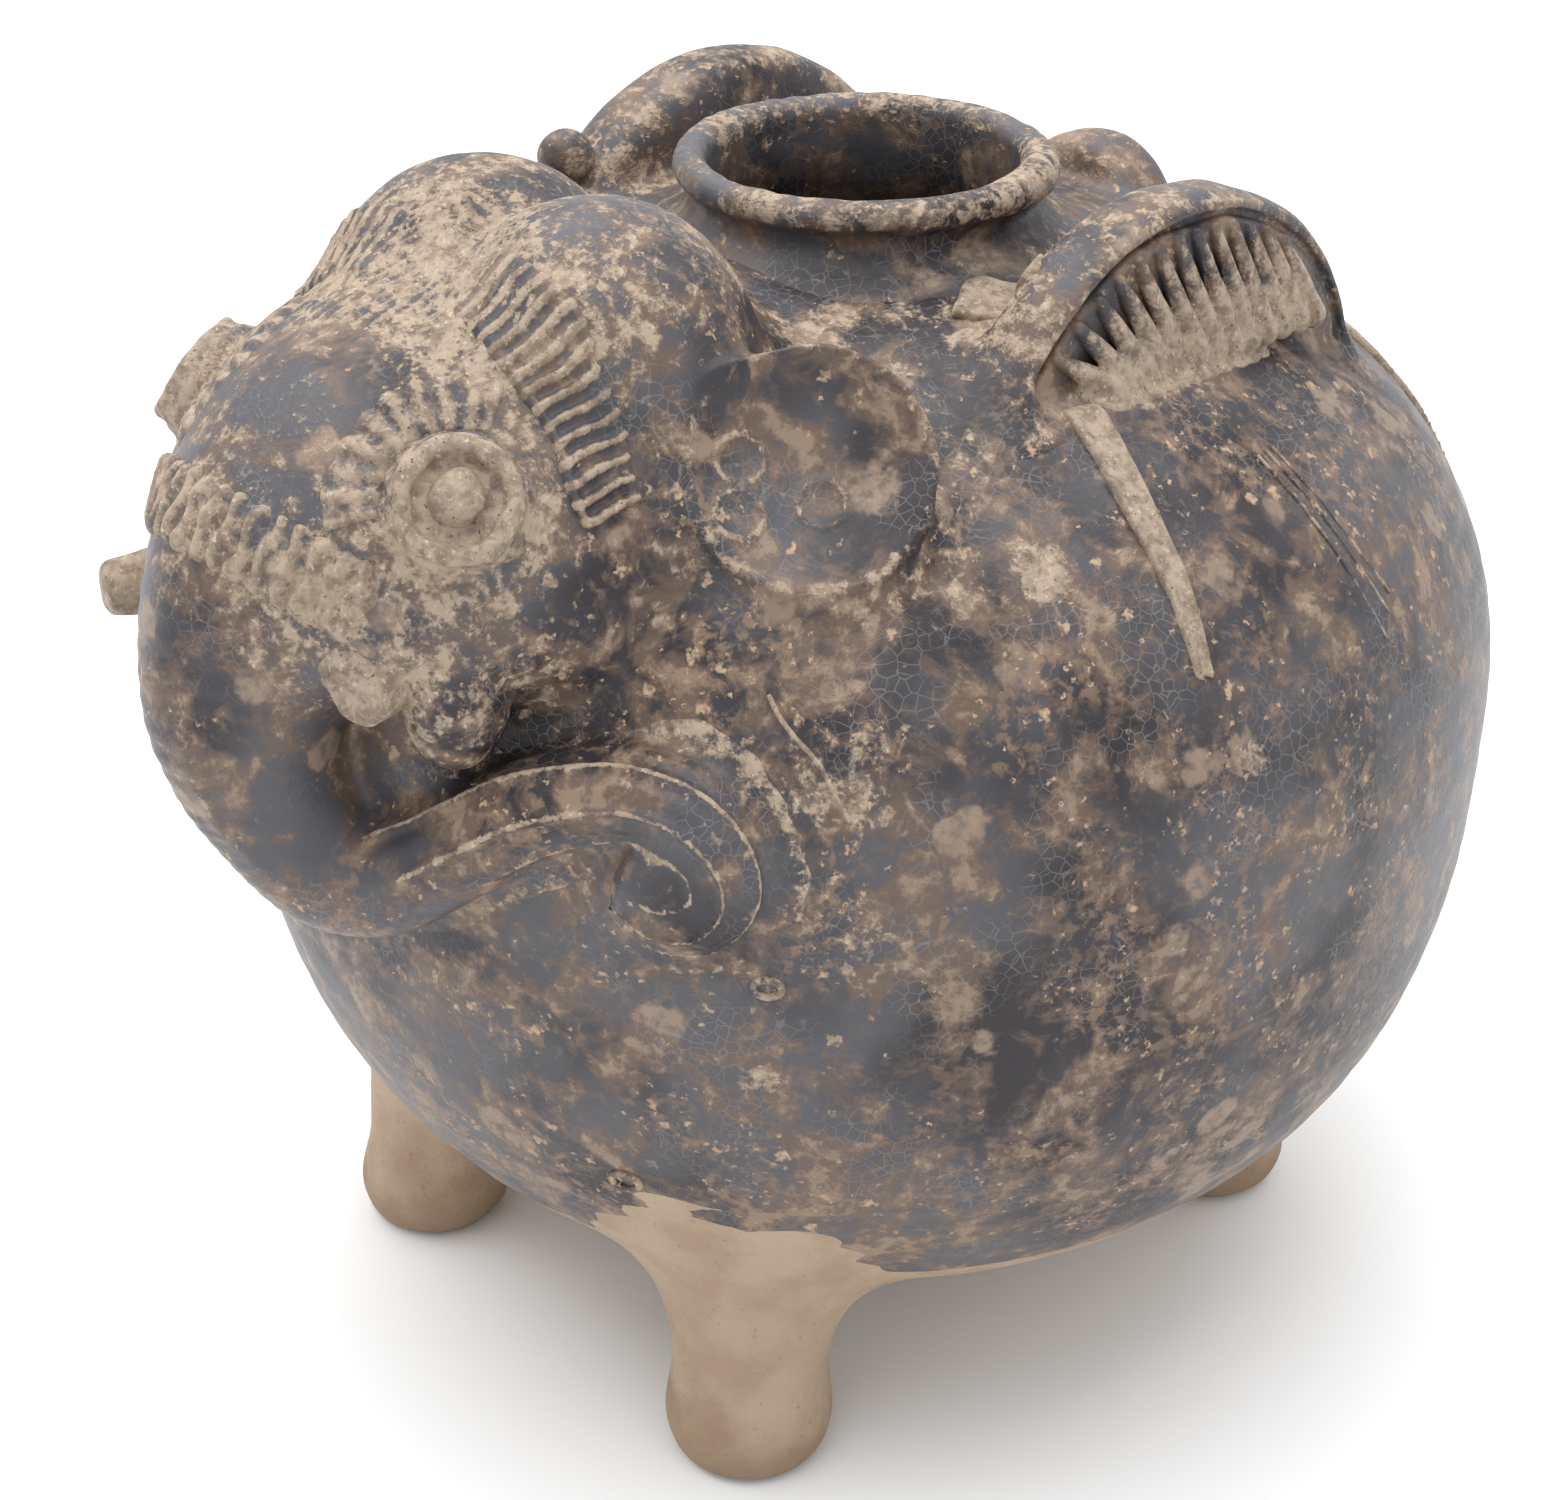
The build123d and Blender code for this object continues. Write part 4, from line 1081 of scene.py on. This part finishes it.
def strap_form(azimuth, tip):
    def form(x, y, z):
        radius = np.hypot(x, y)
        across = (np.arctan2(x, -y) - math.radians(azimuth)) * radius + 0.12 * np.sin(z * 0.5)
        half = np.interp(z, (tip, 109.5), (0.9, 1.9))
        edge = np.exp(-((np.abs(across) - half + 0.35) / 0.25) ** 2)
        height = 0.2 + 0.2 * edge - 0.35 * np.clip((tip + 7.0 - z) / 2.0, 0, 1) * (1 - edge)
        return band(pot_skin(x, y, z), across, half, z, tip, 109.5, height, 0.3)

    return form


for word, azimuth, tip, low, high in (
    ("front", 77.0, 91.5, (33, -18, 89), (63, -4, 112)),
    ("rear", 145.0, 86.0, (16, 26, 84), (38, 54, 112)),
):
    pair(f"strap_{word}", strap_form(azimuth, tip), low, high, 0.3, lambda p: 0.1, torn_clay, "broken_clay", (0.1, 2.0))


def scar_form(x, y, z):
    """Torn seat of the lost bead, with the outline of a square below it."""
    skin = np.minimum(roll_form(x, y, z), pot_skin(x, y, z))
    up, across, out = local(x, y, z, (23.4, -4.7, 114.9), (0.2, -0.25, 0.94), (0.6, -0.8, 0.0))
    edge = np.maximum(np.abs(up) - 3.6, np.abs(across) - 4.0) + 0.3 * lumps(np.stack([x, y, z], axis=-1), 2.2)
    seat = carve(skin - 0.35, edge, 0.8)
    up, across, out = local(x, y, z, (30.4, -11.4, 112.2), (0.35, -0.2, 0.9), (0.6, -0.8, 0.0))
    loop = np.hypot(np.maximum(np.abs(up) - 3.4, np.abs(across) - 3.2), pot_skin(x, y, z)) - 0.35
    return np.maximum(np.minimum(seat, loop), -(skin + 1.0))


scar = clay_piece("harness_scar", scar_form, (14, -22, 106), (40, 6, 122), 0.28)
roughen(scar, 0.3, 1.5, 0.0)
set_wear(scar, np.full(len(scar.data.vertices), 0.0))
finish_piece(scar, torn_clay, "broken_clay")


# Marks in the glaze: lines drawn with a point, and two burst blisters with
# raised edges. They stand a little proud of the skin.
def thread(name, points, radius, closed=False):
    """Thin round line of clay through points in the skin."""
    path = np.array(points) if closed else smooth_path(points, 24)
    count = len(path)
    ways = np.roll(path, -1, 0) - np.roll(path, 1, 0) if closed else np.gradient(path, axis=0)
    rings, sides = [], 8
    for spot, way in zip(path, ways):
        first = np.cross(way, spot * (1, 1, 0))
        first /= np.linalg.norm(first)
        second = np.cross(way, first)
        second /= np.linalg.norm(second)
        for step in range(sides):
            turn = math.tau * step / sides
            rings.append(spot + radius * (math.cos(turn) * first + math.sin(turn) * second))
    faces = []
    for ring in range(count if closed else count - 1):
        after = (ring + 1) % count
        for step in range(sides):
            then = (step + 1) % sides
            faces.append((ring * sides + step, ring * sides + then, after * sides + then, after * sides + step))
    if not closed:
        faces.append(tuple(range(sides - 1, -1, -1)))
        faces.append(tuple(range((count - 1) * sides, count * sides)))
    piece = mesh_object(name, rings, faces)
    only(piece)
    bpy.ops.object.mode_set(mode="EDIT")
    bpy.ops.mesh.select_all(action="SELECT")
    bpy.ops.mesh.normals_make_consistent(inside=False)
    bpy.ops.object.mode_set(mode="OBJECT")
    set_wear(piece, -0.3 + 0.6 * lumps(vertices(piece), 3.0))
    finish_piece(piece, torn_clay, "worn_glaze")
    return piece


def skin_line(spots, lift):
    """Points on the pot's skin at azimuths in degrees and heights."""
    return [on_pot(math.radians(azimuth) * body_radius, height, lift) for azimuth, height in spots]


thread("drawn_arc", skin_line(((38.6, 92.9), (40.2, 90.8), (43.1, 88.0), (44.5, 85.6), (45.7, 83.5)), -0.4), 0.26)
for index, shift in enumerate((0.0, 1.7, 3.0)):
    line = ((96.0 + shift, 104.0), (96.9 + shift, 99.5), (97.6 + shift, 95.5), (99.0 + shift, 88.5 + shift))
    thread(f"scratch_{index}", skin_line(line, -0.42), 0.17)
for index, (azimuth, height, wide) in enumerate(((26.0, 40.7, 1.1), (39.5, 67.5, 0.9))):
    loop = []
    for step in range(20):
        turn = math.tau * step / 20
        along = math.radians(azimuth) * body_radius + 1.4 * wide * math.cos(turn)
        loop.append(on_pot(along, height + wide * math.sin(turn), -0.3))
    thread(f"blister_{index}", loop, 0.42, closed=True)


# Floor and light: a pale sweep, a large soft lamp above and a white room.
bpy.ops.mesh.primitive_plane_add(size=6.0, location=(0, 0, 0))
floor = bpy.context.object
floor.name = "floor"
floor_material, tree, shader = new_material("floor_paper", 0.9)
shader.inputs["Base Color"].default_value = (0.93, 0.93, 0.93, 1.0)
floor.data.materials.append(floor_material)

world = bpy.data.worlds.new("room")
bpy.context.scene.world = world
world.use_nodes = True
background = world.node_tree.nodes["Background"]
background.inputs["Color"].default_value = (0.93, 0.97, 1.0, 1.0)
background.inputs["Strength"].default_value = 0.92

bpy.ops.object.light_add(type="AREA", location=(-0.14, 0.0, 0.85))
lamp = bpy.context.object
lamp.data.size = 1.2
lamp.data.energy = 11.0
lamp.rotation_euler = (Vector((0, 0, 0.06)) - lamp.location).to_track_quat("-Z", "Y").to_euler()
